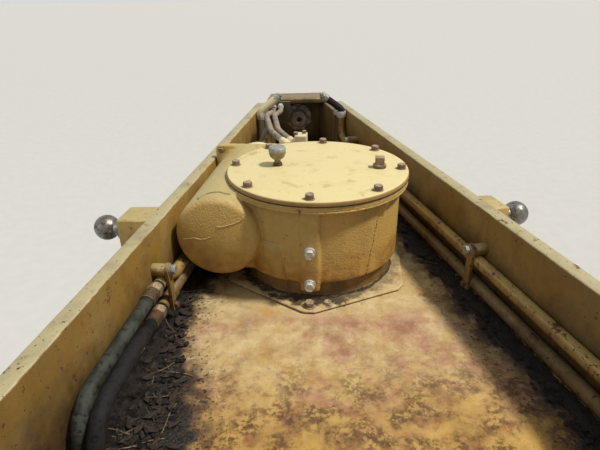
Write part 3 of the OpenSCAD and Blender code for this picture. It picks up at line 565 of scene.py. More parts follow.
# %% Metals, rubber and dirt
def stuff(name, colours, size, metallic, roughness=(0.5, 0.8), depth=0.0004, grit=None, dust=None):
    """Material of three tones in patches of a size, with its span of roughness, its grit and its dust."""
    material, tree = start(name)
    main, patches, flecks = colours.split()
    first = spots(tree, size, 0.40, 0.62, detail=6, rough=0.65)
    colour = coat(tree, main, patches, first)
    colour = coat(tree, colour, flecks, spots(tree, size / 4, 0.50, 0.66, shift=4.4))
    if dust:
        lying = add(tree, "MapRange", {0: facing_up(tree), 1: 0.35, 2: 0.95}, **SOFT)
        settled = spots(tree, size / 2, 0.30, 0.62, detail=6, shift=9.1)
        colour = coat(tree, colour, dust, lying, settled, 0.75)
    tree.nodes["Principled BSDF"].inputs["Metallic"].default_value = metallic
    rough = add(tree, "MapRange", {0: first, 3: roughness[0], 4: roughness[1]})
    return dress(material, colour, rough, spots(tree, grit or size / 8, 0.25, 0.75, detail=5), depth)


GREASED = stuff("greased_cast_iron", "#6A6054 #857868 #332C25", 0.016, 0.1, (0.45, 0.75), 0.0012,
                dust="#9A8D7A")
# The cap's flange and its bolts take a lighter iron than the hub, with settled dust: painted light where they
# lie in shade.
LIGHTENED_IRON = stuff("cast_iron_dust_and_painted_light", "#B5A896 #C8BCA9 #7A6E60", 0.016, 0.1, depth=0.0010, dust="#CBBFAB")
RUSTY = stuff("browned_bolt_steel", "#6C563F #8B7257 #463622", 0.008, 0.2, depth=0.0005, dust="#BFAE8C")
STRAP = stuff("browned_strap_steel", "#4A3726 #604A32 #2A1E15", 0.012, 0.2, depth=0.0006, dust="#6E5C40")
ZINC = stuff("dull_zinc_plate", "#CFCFCA #B6B6B0 #8A8478", 0.007, 0.5, (0.35, 0.6), 0.0003,
             dust="#D2CFC4")
GREY_ZINC = stuff("dusty_grey_zinc", "#8C8A82 #A09D92 #5A554C", 0.009, 0.4, (0.45, 0.7), dust="#A8A292")
PEWTER = stuff("oiled_zinc_casting", "#83744E #9A8B68 #665736", 0.012, 0.2, (0.45, 0.7))
CAP = stuff("pressed_zinc_cap", "#96978F #7F817D #A8A99F", 0.010, 0.3, (0.45, 0.7), 0.0002)
TURNED = stuff("turned_steel_oiled", "#8D8A85 #6F6A63 #4A4037", 0.030, 0.9, (0.22, 0.45), 0.0002)
TOOTHED = stuff("greased_gear_steel", "#5B554E #2B2621 #8B857C", 0.018, 0.7, (0.28, 0.55), 0.0006)
BRONZE = stuff("worn_bronze", "#8F6E3A #6B5230 #A98B4E", 0.015, 0.8, (0.35, 0.6), 0.0002)
DUSTY_HOSE = stuff("dusty_green_grey_rubber", "#2A2D28 #3C4038 #1C1D1A", 0.035, 0.0, (0.40, 0.75),
                   0.0003, grit=0.0016)
DARK_HOSE = stuff("oily_black_rubber", "#151516 #201F20 #0D0C0C", 0.030, 0.0, (0.60, 0.90), grit=0.0016)
for rubber in (DUSTY_HOSE, DARK_HOSE):
    rubber.node_tree.nodes["Principled BSDF"].inputs["IOR"].default_value = 1.33
PALE_HOSE = stuff("beige_dusted_rubber", "#857A6B #9A8F7E #5E564A", 0.040, 0.0, (0.7, 0.95), grit=0.0016)
DIRT = stuff("caked_grease_and_dust", "#16110E #2B211A #0B0908", 0.020, 0.0, (0.35, 0.95), 0.0030)
RUST_DIRT = stuff("rusty_foot_dirt", "#4E3A22 #32261A #7C6A4C", 0.010, 0.0, (0.7, 0.95), 0.0020)
LITTER = stuff("dry_bark_and_leaf", "#261D17 #3D2F24 #15110F", 0.014, 0.0, (0.7, 0.95), 0.0008)
TWIG = stuff("bleached_twig_bark", "#5A4A36 #87775C #2E241A", 0.010, 0.0, (0.7, 0.95))

# %% [markdown]
# ## Solids that keep their shape
# Turned and toothed pieces need no new mesh, only their finish.

# %% Finishes on kept solids
KEPT = {
    "deck_plate": DECK, "ball_stud": TURNED, "lift_ball_left": TURNED, "lift_ball_right": TURNED,
    "side_shift_ball": TURNED, "circle_teeth": TOOTHED, "pinion": TOOTHED, "pinion_retainer": RUSTY,
    "wear_strips": BRONZE, "arm_tie": PLATE, "deck_unions": ZINC,
}
for node, finish in KEPT.items():
    SOLIDS[node].data.materials.clear()
    SOLIDS[node].data.materials.append(finish)

# %% [markdown]
# ## Plates with broken edges
# A flame-cut plate is never razor sharp. A merged copy of each plate gets a small bevel, which
# catches the light as the real edge does, and then stands for its solid.

# %% Plates
def edged(node, width):
    """Copy of a solid with its edges rounded."""
    return smooth(soften(copy_of(node, node + "_dressed"), width))


PLATES = {
    "rear_crossmember": (PLATE, 0.0025),
    # The nose's cheeks, end plate and bridge take the dark enamel: grime and painted shade.
    "nose_cheek_left": (GRIME_SHADE, 0.0030), "nose_cheek_right": (GRIME_SHADE, 0.0030),
    "nose_end_plate": (GRIME_SHADE, 0.0030), "nose_bridge": (GRIME_SHADE, 0.0025),
    "lift_arm_left": (PLATE, 0.0050), "lift_arm_right": (PLATE, 0.0050),
    "side_shift_bracket": (PLATE, 0.0030), "shoe_pads": (PLATE, 0.0020),
    "blade_arm_left": (PLATE, 0.0040), "blade_arm_right": (PLATE, 0.0040), "circle_ring": (PLATE, 0.0020),
    "shoe_blocks": (RUSTY, 0.0020), "shoe_clips": (RUSTY, 0.0020),
    "filler_plug": (RUSTY, 0.0012),
}
for node, (finish, width) in PLATES.items():
    hand_over(edged(node, width), SLOT[node], finish, takes=[node], body=OWNER[node])
for side, node in ((-1, "rail_left"), (1, "rail_right")):
    rail = hand_over(edged(node, 0.0030), "yellow_paint", PLATE, INNER_SHADE, TOP_DUST_SHADE, takes=[node])
    # Faces turned inwards take the darker inner enamel: soot and painted shade.
    second_finish(rail, lambda c, n: n.dot(inward(side)) > 0.7)
    # Top faces take the greyer top enamel: dust and painted shade.
    second_finish(rail, lambda c, n: n.z > 0.9, index=2)
print("plates:", len(PLATES) + 2)

# %% Ball cap, lid and hose bracket
cap = hand_over(edged("ball_cap", 0.0015), SLOT["ball_cap"], GREASED, LIGHTENED_IRON, takes=["ball_cap"])
# Faces of the cap's flange, behind the hub, take the lighter iron: painted light.
second_finish(cap, lambda c, n: c.y > -0.170)
lid = hand_over(edged("case_lid", 0.0016), "cast_paint", LID, LID_SIDE_SHADE, takes=["case_lid"])
# Faces that do not look up take the lid's browner side enamel: painted shade.
second_finish(lid, lambda c, n: n.z < 0.6)
# The hose bracket's plate is near-black brown, its unions zinc.
bracket = hand_over(edged("hose_bracket", 0.0012), SLOT["hose_bracket"], NEAR_BLACK, ZINC, takes=["hose_bracket"])
second_finish(bracket, lambda c, n: not -0.3465 < c.y < -0.3355)

# %% [markdown]
# ## The gear case
# The case is a sand casting. Where two forms meet the sand leaves a soft fillet, never a sharp
# line. Remeshing a copy of the solid at a few millimetres and relaxing it gives just that. The
# base flange and the foot under the body collect what falls on the deck, so their faces get the
# deck's coat and a stained enamel instead of the case's own.

# %% Castings
def cast(node, name, grain):
    """Copy of a solid with soft fillets, remeshed at the size grain."""
    casting = modify(copy_of(node, name), "REMESH", mode="VOXEL", voxel_size=grain)
    return smooth(modify(casting, "SMOOTH", factor=0.5, iterations=3), 60)


def from_case(point):
    """Distance of a point from the case's axis."""
    return math.hypot(point.x, point.y - CASE_Y)


case = cast("gear_case", "case_casting", 0.0036)
hand_over(case, "cast_paint", FORGED, DECK, STAINED, takes=["gear_case"])
second_finish(case, lambda c, n: c.z < BASE_TOP + 0.003)
second_finish(case, lambda c, n: BASE_TOP + 0.003 <= c.z < BODY_LOW - 0.004 and from_case(c) < 0.199, index=2)
print("case faces:", len(case.data.polygons))
hand_over(cast("drive_motor", "motor_casting", 0.0026), "cream_paint", CREAM, takes=["drive_motor"])

# %% [markdown]
# ## Steel lines and hoses
# A bent line is drawn as straight runs with an arc at each corner, as a pipe bender makes it. The
# solids already hold that, so the long lines are smoothed copies. New short runs, welds and seams
# are curves with a round bevel, turned into meshes.

# %% Pipes along points
def pipe(name, paths, diameter, ripple=0.0, sides=4):
    """Round mesh along each path. With a ripple, the radius swells and shrinks from point to point."""
    curve = bpy.data.curves.new(name, "CURVE")
    curve.dimensions, curve.use_fill_caps = "3D", True
    curve.bevel_depth, curve.bevel_resolution = diameter / 2, sides
    for path in paths:
        spline = curve.splines.new("POLY")
        spline.points.add(len(path) - 1)
        for k, (slot, point) in enumerate(zip(spline.points, path)):
            slot.co = (*point, 1.0)
            slot.radius = 1.0 - ripple * (k % 2) - ripple * 0.5 * noise.noise(Vector(point) * 90)
    obj = bpy.data.objects.new(name, curve)
    bpy.context.scene.collection.objects.link(obj)
    only(obj)
    bpy.ops.object.convert(target="MESH")
    return smooth(tidy_up(bpy.context.object), 50)


def bent(path, bend):
    """Points along straight runs with an arc of the radius bend at each corner."""
    points = [path[0]]
    for before, corner, after in zip(path, path[1:], path[2:]):
        u, v = (corner - before).normalized(), (after - corner).normalized()
        angle = u.angle(v)
        w = (v - u * u.dot(v)).normalized()
        middle = corner - u * bend * math.tan(angle / 2) + w * bend
        steps = max(2, math.ceil(math.degrees(angle) / 6))
        for k in range(steps + 1):
            t = angle * k / steps
            points.append(middle + bend * (u * math.sin(t) - w * math.cos(t)))
    return points + [path[-1]]


LINES = {
    # The lower tubes, under the upper ones, take the darker pipe enamel: grease and painted shade.
    "tube_left_upper": PIPE, "tube_left_lower": LOW_PIPE_SHADE,
    "tube_right_upper": PIPE, "tube_right_lower": LOW_PIPE_SHADE,
    "hose_left_outer": DUSTY_HOSE, "hose_left_inner": DARK_HOSE,
    "motor_hose_upper": PALE_HOSE, "motor_hose_lower": PALE_HOSE,
}
for node, finish in LINES.items():
    line = smooth(copy_of(node, node + "_dressed", flat=0.05), 50)
    hand_over(line, SLOT[node], finish, GREY_ZINC, takes=[node])
    second_finish(line, lambda c, n: node.startswith("tube_left") and c.y > -0.50 and c.z > -0.002)

# %% [markdown]
# ## Bolts and nuts
# A hexagon bolt is a six-sided cylinder whose top corners are turned off, on a round washer face.
# One is modelled at the origin, pointing up, and each group is made of copies of it. A nut on a
# line is the same six-sided form with a bore's edge, so it is built the same way.

# %% Bolt model
def hex_bolt(across, height, collar=0.0015, washer=0.0):
    """Bolt head of a width across flats, standing on the plane z = 0."""
    head = primitive("cylinder", vertices=6, radius=across / math.sqrt(3), depth=height * 0.84,
                     location=(0, 0, washer + collar + height * 0.42))
    bpy.ops.object.mode_set(mode="EDIT")
    pick(head, lambda c, n: n.z > 0.9)
    bpy.ops.mesh.inset(thickness=across * 0.07, depth=height * 0.16)
    bpy.ops.mesh.inset(thickness=across * 0.06, depth=-height * 0.04)
    bpy.ops.object.mode_set(mode="OBJECT")
    parts = [settle(head)]
    for radius, depth, low in ((across * 0.51, collar, washer), (across * 0.64, washer, 0.0)):
        if depth:
            half_up = (0, 0, low + depth / 2)
            disc = primitive("cylinder", vertices=20, radius=radius, depth=depth, location=half_up)
            parts.append(settle(disc))
    return smooth(soften(join(parts, "bolt_model"), 0.0005, segments=1), 30)


def bolts(name, across, height, places, slot="rusty_iron", finish=RUSTY, takes=(), body="drawbar",
          **settings):
    """Sets copies of one bolt on places, each a point and the direction that it points in."""
    model = hex_bolt(across, height, **settings)
    spins = random.Random(len(name))
    sunk = 0.0004
    group = set_out(model, [aim(p - d * sunk, d, spins.uniform(0, 1.05)) for p, d in places], name)
    bpy.data.objects.remove(model)
    return hand_over(group, slot, finish, takes=takes, body=body)


def turns(count, start=0.0):
    """Angles that divide a full turn."""
    return [math.tau * (k + start) / count for k in range(count)]


# %% Bolts on the case and the motor
bolts("lid_bolts", 0.0185, 0.0095, [(round_case(0.207, 45 * k, 0), Z) for k in range(8)], washer=0.0022)
bolts("base_bolts", 0.021, 0.010,
      [(round_case(0.230, 120 * k - 90, BASE_TOP - LID_TOP), Z) for k in range(3)], washer=0.003)
bolts("level_plug_bolts", 0.021, 0.010,
      [(case_point(0, BOSS_FACE, z), case_way(0, -1, 0)) for z in (PLUG_HIGH, PLUG_LOW)],
      "zinc_plate", ZINC, ["level_plugs"], collar=0.002, washer=0.005)
FOOT_R = 0.062
foot = [case_point(WORM_X + FOOT_R * math.cos(a), MOTOR_FOOT, WORM_Z + FOOT_R * math.sin(a))
        for a in turns(4)]
bolts("motor_foot_bolts", 0.019, 0.012, [(p, case_way(0, 1, 0)) for p in foot], washer=0.003)
flange_corner = case_point(WORM_X - 0.085, MOTOR_FLANGE, WORM_Z + 0.085)
bolts("flange_bolt", 0.014, 0.005, [(flange_corner, case_way(0, -1, 0))])
block = case_point(WORM_X + 0.131, 0.381, -0.024)
bolts("motor_block_bolts", 0.013, 0.008,
      [(block + case_way(x, y, 0) * 0.016, Z) for x, y in ((-0.8, -0.6), (0.8, 0.6))])

# %% Bolts on the frame, the nose and the shoes
CAP_FACE, CAP_BOLT_R = -0.162, 0.050
cap_ring = [Vector((CAP_BOLT_R * math.cos(a), CAP_FACE, CAP_BOLT_R * math.sin(a))) for a in turns(8, 0.5)]
# The cap's bolts take the same lighter iron: painted light.
bolts("nose_cap_bolts", 0.0205, 0.014, [(p, -Y) for p in cap_ring], "greasy_iron", LIGHTENED_IRON)
CLAMPS = [(-1, -1.546, HIGH_Z, LOW_Z), (-1, -0.616, HIGH_Z - DIP, LOW_Z),
          (1, -1.508, HIGH_Z, LOW_Z), (1, -0.616, HIGH_Z, LOW_Z), (1, -1.980, HIGH_Z, LOW_Z)]
STRAP_IN, STRAP_T, BOSS_UP = 2 * LINE_OFF, 0.008, 0.0293
strap_face = STRAP_IN + STRAP_T
boss_bolts = [(beside(s, y, strap_face, top + BOSS_UP), inward(s)) for s, y, top, low in CLAMPS]
bolts("clamp_bolts", 0.019, 0.009, boss_bolts, "zinc_plate", GREY_ZINC, washer=0.003)
strap_feet = [(beside(s, y, strap_face, low - 0.004), inward(s)) for s, y, top, low in CLAMPS]
bolts("clamp_foot_nuts", 0.013, 0.007, strap_feet, finish=STRAP)
shift_bolts = [(x, z) for x in (-0.043, 0.043) for z in (-0.043, 0.043)]
bolts("shift_bracket_bolts", 0.016, 0.010,
      [(on_rail(1, SHIFT_BACK + x, 0.052, SHIFT_Z + z), -inward(1)) for x, z in shift_bolts])


def rim_crossing(end):
    """Angle at which a rail's middle crosses the circle's rim, in front (1) or behind (-1)."""
    t, c = math.tan(SPLAY), half_gap(CIRCLE.y) + RAIL_T / 2 / math.cos(SPLAY)
    u = (c * t + end * math.sqrt(c * c * t * t - (1 + t * t) * (c * c - RIM_R * RIM_R))) / (1 + t * t)
    return math.atan2(u, c - t * u)


under_shoes = []
for side, end in ((-1, -1), (-1, 1), (1, -1), (1, 1)):
    for shift in (-5, 0, 5):
        a = rim_crossing(end) + math.radians(shift)
        place = CIRCLE + Vector((side * SHOE_BOLT_R * math.cos(a), SHOE_BOLT_R * math.sin(a), CLIP_UNDER))
        under_shoes.append((place, -Z))
bolts("shoe_bolts", 0.024, 0.014, under_shoes, washer=0.003)
retainer = [Vector((0.036 * math.cos(a), CASE_Y + 0.036 * math.sin(a), RETAINER_UNDER)) for a in turns(5)]
bolts("retainer_bolts", 0.016, 0.010, [(p, -Z) for p in retainer], body="pinion")

# %% [markdown]
# ## Line clamps
# Each clamp is a round boss welded to the rail, sprayed with it, and a forged steel strap that a
# bolt pulls over both lines. The strap's eye is a short cylinder. Its lower side faces are extruded
# downwards twice and drawn in, which gives the waist and the narrow foot.

# %% Clamps
EYE_R, BOSS_R = 0.0150, 0.0140


def strap(drop):
    """Strap with its eye at the origin, hanging down along -Y, its back on the plane z = 0."""
    obj = primitive("cylinder", vertices=24, radius=EYE_R, depth=STRAP_T, location=(0, 0, STRAP_T / 2))
    bpy.ops.object.mode_set(mode="EDIT")
    pick(obj, lambda c, n: n.y < -0.35 and abs(n.z) < 0.5)
    for low, wide in ((0.030, 0.66), (drop, 0.92)):
        bpy.ops.mesh.extrude_region_move(TRANSFORM_OT_translate={"value": (0, -0.010, 0)})
        bpy.ops.transform.resize(value=(wide, 0.0, 1.0), center_override=(0, -low, 0))
    bpy.ops.object.mode_set(mode="OBJECT")
    return smooth(soften(tidy_up(settle(obj)), 0.0012), 40)


for clamp_side, name in ((-1, "clamps_left"), (1, "clamps_right")):
    bosses, straps = [], []
    for side, y, top, low in CLAMPS:
        if side != clamp_side:
            continue
        z = top + BOSS_UP
        boss = primitive("cylinder", vertices=28, radius=BOSS_R, depth=STRAP_IN + 0.001)
        boss = soften(settle(boss), 0.0010)
        boss.data.transform(aim(beside(side, y, (STRAP_IN - 0.001) / 2, z), inward(side)))
        bosses.append(boss)
        piece = strap(z - low + 0.015)
        lay_on = Matrix((Z.cross(inward(side)), Z, inward(side))).transposed().to_4x4()
        piece.data.transform(Matrix.Translation(beside(side, y, STRAP_IN, z)) @ lay_on)
        straps.append(piece)
    hand_over(join(straps, name + "_straps"), "rusty_iron", STRAP_COAT, takes=[name])
    # The bosses take the rails' darker inner enamel: soot and painted shade.
    hand_over(smooth(join(bosses, name + "_bosses")), "yellow_paint", INNER_SHADE)

# %% [markdown]
# ## Breather
# The breather lets the oil's air in and out. A brown hexagon screws into the lid, a stubby stem
# carries a cast zinc cup, and a pressed grey cap closes it. The cup and the cap are turned shapes,
# so an outline is spun about the axis.

# %% Breather and nuts on the lines
def spun(name, outline, place, direction=Z, sides=32):
    """Turned piece: an outline of radius and height, spun about its axis and set at a place."""
    wire = bpy.data.meshes.new(name)
    wire.from_pydata([(r, 0, z) for r, z in outline], [(k, k + 1) for k in range(len(outline) - 1)], [])
    obj = bpy.data.objects.new(name, wire)
    bpy.context.scene.collection.objects.link(obj)
    only(obj)
    bpy.ops.object.mode_set(mode="EDIT")
    bpy.ops.mesh.select_all(action="SELECT")
    bpy.ops.mesh.spin(steps=sides, angle=math.tau, center=(0, 0, 0), axis=(0, 0, 1))
    bpy.ops.object.mode_set(mode="OBJECT")
    tidy_up(obj)
    obj.data.transform(aim(place, direction))
    return smooth(obj, 32)


spot = case_point(-0.101, 0.006, 0)
stem = [(0, 0.002), (0.0082, 0.002), (0.0078, 0.016), (0, 0.016)]
cup = [(0, 0.015), (0.0078, 0.015), (0.0125, 0.0175), (0.0178, 0.0225), (0.0205, 0.0285), (0.0212, 0.034),
       (0.0212, 0.0375), (0, 0.0375)]
top = [(0, 0.0365), (0.0206, 0.0365), (0.0218, 0.0380), (0.0219, 0.0425), (0.0210, 0.0452), (0.0206, 0.0455),
       (0.0196, 0.0480), (0.0150, 0.0493), (0, 0.0500)]
hand_over(spun("breather_cup", cup, spot), "zinc_plate", PEWTER, takes=["breather"])
hand_over(spun("breather_cap", top, spot), "zinc_plate", CAP)
hand_over(spun("breather_stem", stem, spot), "zinc_plate", PEWTER)
bolts("breather_hexagon", 0.0205, 0.006, [(spot, Z)], finish=STRAP, washer=0.0012)


def nuts(name, slot, finish, across, length, places):
    """Hexagon nuts round a line, centred on places that give a point and the line's direction."""
    model = soften(primitive("cylinder", vertices=6, radius=across / math.sqrt(3), depth=length), 0.0012)
    ring = settle(primitive("cylinder", vertices=24, radius=across * 0.50, depth=length * 1.25))
    model = smooth(join([model, ring], "nut_model"), 30)
    group = set_out(model, [aim(p, d) for p, d in places], name)
    bpy.data.objects.remove(model)
    return hand_over(group, slot, finish)


line_ends = [(beside(-1, -1.582, LINE_OFF, z), along(-1)) for z in (HIGH_Z, LOW_Z)]
nuts("line_nuts", "rusty_iron", RUSTY, 0.0295, 0.018, line_ends)
RISER_OFF = LINE_OFF + 0.004
risers = [(side, y) for side in (-1, 1) for y in (-0.464, -0.418)]
riser_ends = [(beside(side, y, RISER_OFF, 0.0805), Z) for side, y in risers]
nuts("riser_nuts", "zinc_plate", ZINC, 0.036, 0.019, riser_ends)

# %% [markdown]
# ## Elbows and crimped ends
# Each riser ends in an elbow that leans towards the middle of the frame, a cast and painted one on
# the left and one of black rubber on the right. A hose is held by a crimped steel sleeve, a little
# wider than the hose, with rings pressed into it.

# %% Elbows and sleeves
elbows = {-1: [], 1: []}
for side, y in risers:
    low = beside(side, y, RISER_OFF, 0.086)
    elbows[side].append((low, low + Z * 0.014, low + Vector((-side * 0.063, 0.004, 0.060))))
for side, name, slot, finish, thick in ((-1, "left_elbows", "cream_paint", CREAM, 0.031),
                                        (1, "right_elbows", "black_hose", DARK_HOSE, 0.027)):
    hand_over(pipe(name, [bent(list(points), 0.022) for points in elbows[side]], thick), slot, finish)
ends = [(tip, (tip - turn).normalized()) for low, turn, tip in elbows[-1] + elbows[1]]
nuts("elbow_nuts", "zinc_plate", GREY_ZINC, 0.0285, 0.012, ends)
bolts("elbow_plugs", 0.015, 0.006, [(p + d * 0.0070, d) for p, d in ends], "zinc_plate", GREY_ZINC)


def sleeve(length, radius):
    """Outline of a crimped sleeve along its axis, closed at both ends on the hose."""
    outline, rings = [(radius * 0.80, 0.0), (radius * 0.98, 0.0)], 5
    pressed, step = radius * 0.93, length * 0.84 / rings
    for k in range(rings):
        low = length * 0.08 + k * step
        outline += [(radius, low), (radius, low + step * 0.55)]
        outline += [(pressed, low + step * 0.65), (pressed, low + step * 0.9)]
    return outline + [(radius, length * 0.93), (radius * 0.98, length), (radius * 0.80, length)]


crimped = sleeve(0.034, 0.0158)
hose_ends = [beside(-1, -1.624, LINE_OFF, z) for z in (HIGH_Z, LOW_Z)]
sleeves = [spun("sleeve", crimped, end, along(-1), sides=20) for end in hose_ends]
hand_over(join(sleeves, "hose_sleeves"), "rusty_iron", STRAP)

# %% [markdown]
# ## Weld beads
# The plates are joined by fillet welds. A welder's hand leaves a row of small overlapping ripples,
# so each bead is a curve with a point about every five millimetres, whose radius swells and
# shrinks. It lies half sunk in the corner that it fills, sprayed over with the same enamel.

# %% Weld beads
WEB_FRONT, WEB_REAR, CHEEK_REAR = -2.212, -2.240, -0.386
ROOT_OUT, UNDER_RING = RAIL_T + 0.001, RING_UNDER - 0.001


def bead(a, b, step=0.005):
    """Points of a bead from a to b, one every step."""
    count = max(2, round((b - a).length / step))
    return [a.lerp(b, k / count) for k in range(count + 1)]


def bead_loop(corners):
    """Points of a bead that closes on itself."""
    points = []
    for a, b in zip(corners, corners[1:] + corners[:1]):
        points += bead(a, b)[:-1]
    return points + [corners[0]]


frame_beads, circle_beads = [], []
root = [(-0.048, 0.002), (0.048, 0.002), (0.048, -0.136), (-0.048, -0.136)]
for side in (-1, 1):
    cheek = Vector((side * half_gap(CHEEK_REAR), CHEEK_REAR - 0.001, 0))
    corner = Vector((side * half_gap(RAIL_FRONT), RAIL_FRONT + 0.001, 0))
    frame_beads += [
        bead(*(beside(side, y, 0.002, DECK_TOP + 0.002) for y in (-0.40, -2.205))),
        bead(*(beside(side, y, 0.0, DECK_UNDER) for y in (-0.42, -2.295)), step=0.007),
        bead(cheek + Z * -0.112, cheek + Z * 0.076),
        bead(corner + Z * -0.116, corner + Z * 0.074),
        bead(*(beside(side, WEB_FRONT, 0.001, z) for z in (DECK_TOP + 0.004, 0.030))),
        bead(*(beside(side, WEB_REAR, 0.001, z) for z in (DECK_TOP + 0.004, 0.030))),
        bead_loop([on_rail(side, LIFT_BACK + x, ROOT_OUT, z) for x, z in root]),
    ]
    for face in (0.598, 0.562):
        for reach in ((0.040, 0.205), (-0.205, -0.040)):
            circle_beads.append(bead(*(CIRCLE + Vector((side * face, d, UNDER_RING)) for d in reach)))
HALF_WEB = half_gap(WEB_FRONT) - 0.004
frame_beads.append(bead(*(Vector((x, WEB_FRONT + 0.001, DECK_TOP)) for x in (-HALF_WEB, HALF_WEB))))
for x in (-0.172, -0.158, 0.158, 0.172):
    frame_beads.append(bead(Vector((x, -2.208, DECK_TOP)), Vector((x, -2.064, DECK_TOP))))
pad = [(-0.055, -0.040), (-0.055, 0.040), (-0.040, 0.055), (0.040, 0.055),
       (0.055, 0.040), (0.055, -0.040), (0.040, -0.055), (-0.040, -0.055)]
frame_beads.append(bead_loop([on_rail(1, SHIFT_BACK + x, ROOT_OUT, SHIFT_Z + z) for x, z in pad]))
for side in (-1, 1):
    tie_end = Vector((side * 0.5615, CIRCLE.y - 0.160, RING_UNDER - 0.240))
    round_tie = [tie_end + 0.0455 * Vector((0, math.cos(a), math.sin(a))) for a in (*turns(60), math.tau)]
    circle_beads.append(round_tie)
for name, body, beads in (("frame_welds", "drawbar", frame_beads), ("circle_welds", "circle", circle_beads)):
    hand_over(pipe(name, beads, 0.011, ripple=0.16, sides=1), "yellow_paint", PLATE, body=body)

# %% [markdown]
# ## Casting seams
# Where two halves of the mould met, a casting keeps a thin raised line. The worm housing has a
# proud rim over its end face and two fine seams across it, the body has one round its raised
# panel, and the rim under the lid has a rough lower edge.

# %% Casting seams
def on_dome(radius, angle):
    """Point on the end of the worm housing, at a radius and an angle in degrees round its axis."""
    face, edge = 0.082, 0.018
    if radius < face:
        sag = 0.008 * (radius / face) ** 2
    else:
        sag = 0.008 + edge - math.sqrt(max(0.0, edge ** 2 - (radius - face) ** 2))
    a = math.radians(angle)
    return case_point(WORM_X + radius * math.cos(a), sag - 0.200, WORM_Z + radius * math.sin(a))


def on_drum(angle, y):
    """Point on the side of the worm housing."""
    a = math.radians(angle)
    return case_point(WORM_X + WORM_R * math.cos(a), y, WORM_Z + WORM_R * math.sin(a))


def eased(points, steps=4):
    """Points with more between them, on a smooth curve through all."""
    path = []
    for a, b, c, d in zip(points[:1] + points, points, points[1:], points[2:] + points[-1:]):
        for s in range(steps):
            t = s / steps
            bow, twist = 2 * a - 5 * b + 4 * c - d, 3 * b - a - 3 * c + d
            path.append(0.5 * (2 * b + (c - a) * t + bow * t * t + twist * t ** 3))
    return path + [points[-1]]


def hoop(radius, z):
    """Closed path round the case, with a point every three degrees."""
    return [round_case(radius, 3 * k, z) for k in range(121)]


rim = [(113, -0.177), (109, -0.169), (104, -0.160), (98, -0.1555), (92, -0.1535), (86, -0.1520),
       (80, -0.1555), (73, -0.1545), (66, -0.148), (58, -0.142), (50, -0.138)]
sweep = [(0.0348, 80), (0.0400, 62), (0.0520, 49), (0.0640, 42.5), (0.0760, 39.7), (0.0850, 40),
         (0.0930, 40.4), (0.0980, 40.3)]
cross = [(0.0800, -178), (0.0672, -179), (0.0518, 176.7), (0.0373, 179), (0.0228, 172), (0.0153, 146)]
panel = [(-127.5, -0.1255), (-123.2, -0.1250), (-117.3, -0.1228), (-112.7, -0.1240), (-110.5, -0.1296),
         (-109.3, -0.1521), (-108.2, -0.1750), (-107.2, -0.1990), (-106.6, -0.2080)]
rim_line = eased([on_drum(a, y) for a, y in rim])
fine_lines = [eased([on_dome(r, a) for r, a in line]) for line in (sweep, cross)]
panel_line = eased([round_case(0.2085, a, z) for a, z in panel])
hand_over(pipe("rim_seam", [rim_line], 0.0052, ripple=0.25), "cast_paint", STAINED)
seams = [
    pipe("fine_seams", fine_lines, 0.0032, ripple=0.20),
    pipe("panel_seam", [panel_line], 0.0050, ripple=0.15),
    pipe("rim_edge", [hoop(0.2212, -0.0268)], 0.0066, ripple=0.10, sides=3),
]
hand_over(join(seams, "casting_seams"), "cast_paint", FORGED)

# %% Gasket and oil run
# A near-black bead in the joint under the lid stands for an oily gasket and paints the shadow line under the
# lid's edge.
hand_over(pipe("lid_gasket_shadow_line", [hoop(0.2243, -0.0120)], 0.0034, ripple=0.2, sides=1), "greasy_iron", DIRT)
run = [(-35.9, -0.0300), (-36.6, -0.0437), (-39.4, -0.0560), (-42.6, -0.0659), (-44.2, -0.0766),
       (-44.8, -0.0937), (-46.2, -0.1100), (-46.5, -0.1254), (-48.2, -0.1469), (-49.5, -0.1721),
       (-50.8, -0.1977), (-51.4, -0.2110)]
run_line = eased([round_case(0.2050, a, z) for a, z in run])
hand_over(pipe("oil_run", [run_line], 0.0036, ripple=0.5, sides=1), "greasy_iron", DIRT)

# %% [markdown]
# ## Dirt on the deck
# Grease, dust and dead leaves gather along the feet of the rails and round the case. A strip of
# dirt is a grid laid on the deck, whose width and height wander as noise does, with a skin under
# it so that the mesh is closed. Twigs, flakes and clods lie on top, copied from small models.

# %% Heaps of dirt
def heap(line, across, count, widths, height, seed):
    """Strip of dirt: line(s) and across(s) give its foot and direction for s from 0 to 1."""
    obj = primitive("grid", x_subdivisions=count, y_subdivisions=10, size=1)
    for vertex in obj.data.vertices:
        s, t = vertex.co.x + 0.5, vertex.co.y + 0.5
        here = Vector((s * 13.0 + seed, 0.0, seed))
        width = widths(s) * (0.75 + 0.5 * noise.noise(here * 1.7) + 0.25 * noise.noise(here * 6.1))
        point = line(s) + across(s) * (width * t)
        lump = 0.55 + 0.45 * noise.noise(point * 38 + Vector((seed, 0, 0))) + 0.35 * noise.noise(point * 110)
        rise = height * max(0.0, lump) * (1 - t) ** 0.6 * min(1.0, 10 * t + 0.45)
        vertex.co = point + Z * (rise - 0.0015 * t)
    modify(obj, "SOLIDIFY", thickness=0.003, offset=-1.0)
    return smooth(tidy_up(obj), 70)


def rail_foot(side):
    """Line along the foot of a rail, for s from 0 at its front to 1."""
    return lambda s: beside(side, -0.45 - 1.75 * s, 0.002, DECK_TOP + 0.0008)


def outwards(s):
    """Direction away from the case's axis."""
    return case_way(math.cos(math.tau * s), math.sin(math.tau * s), 0)


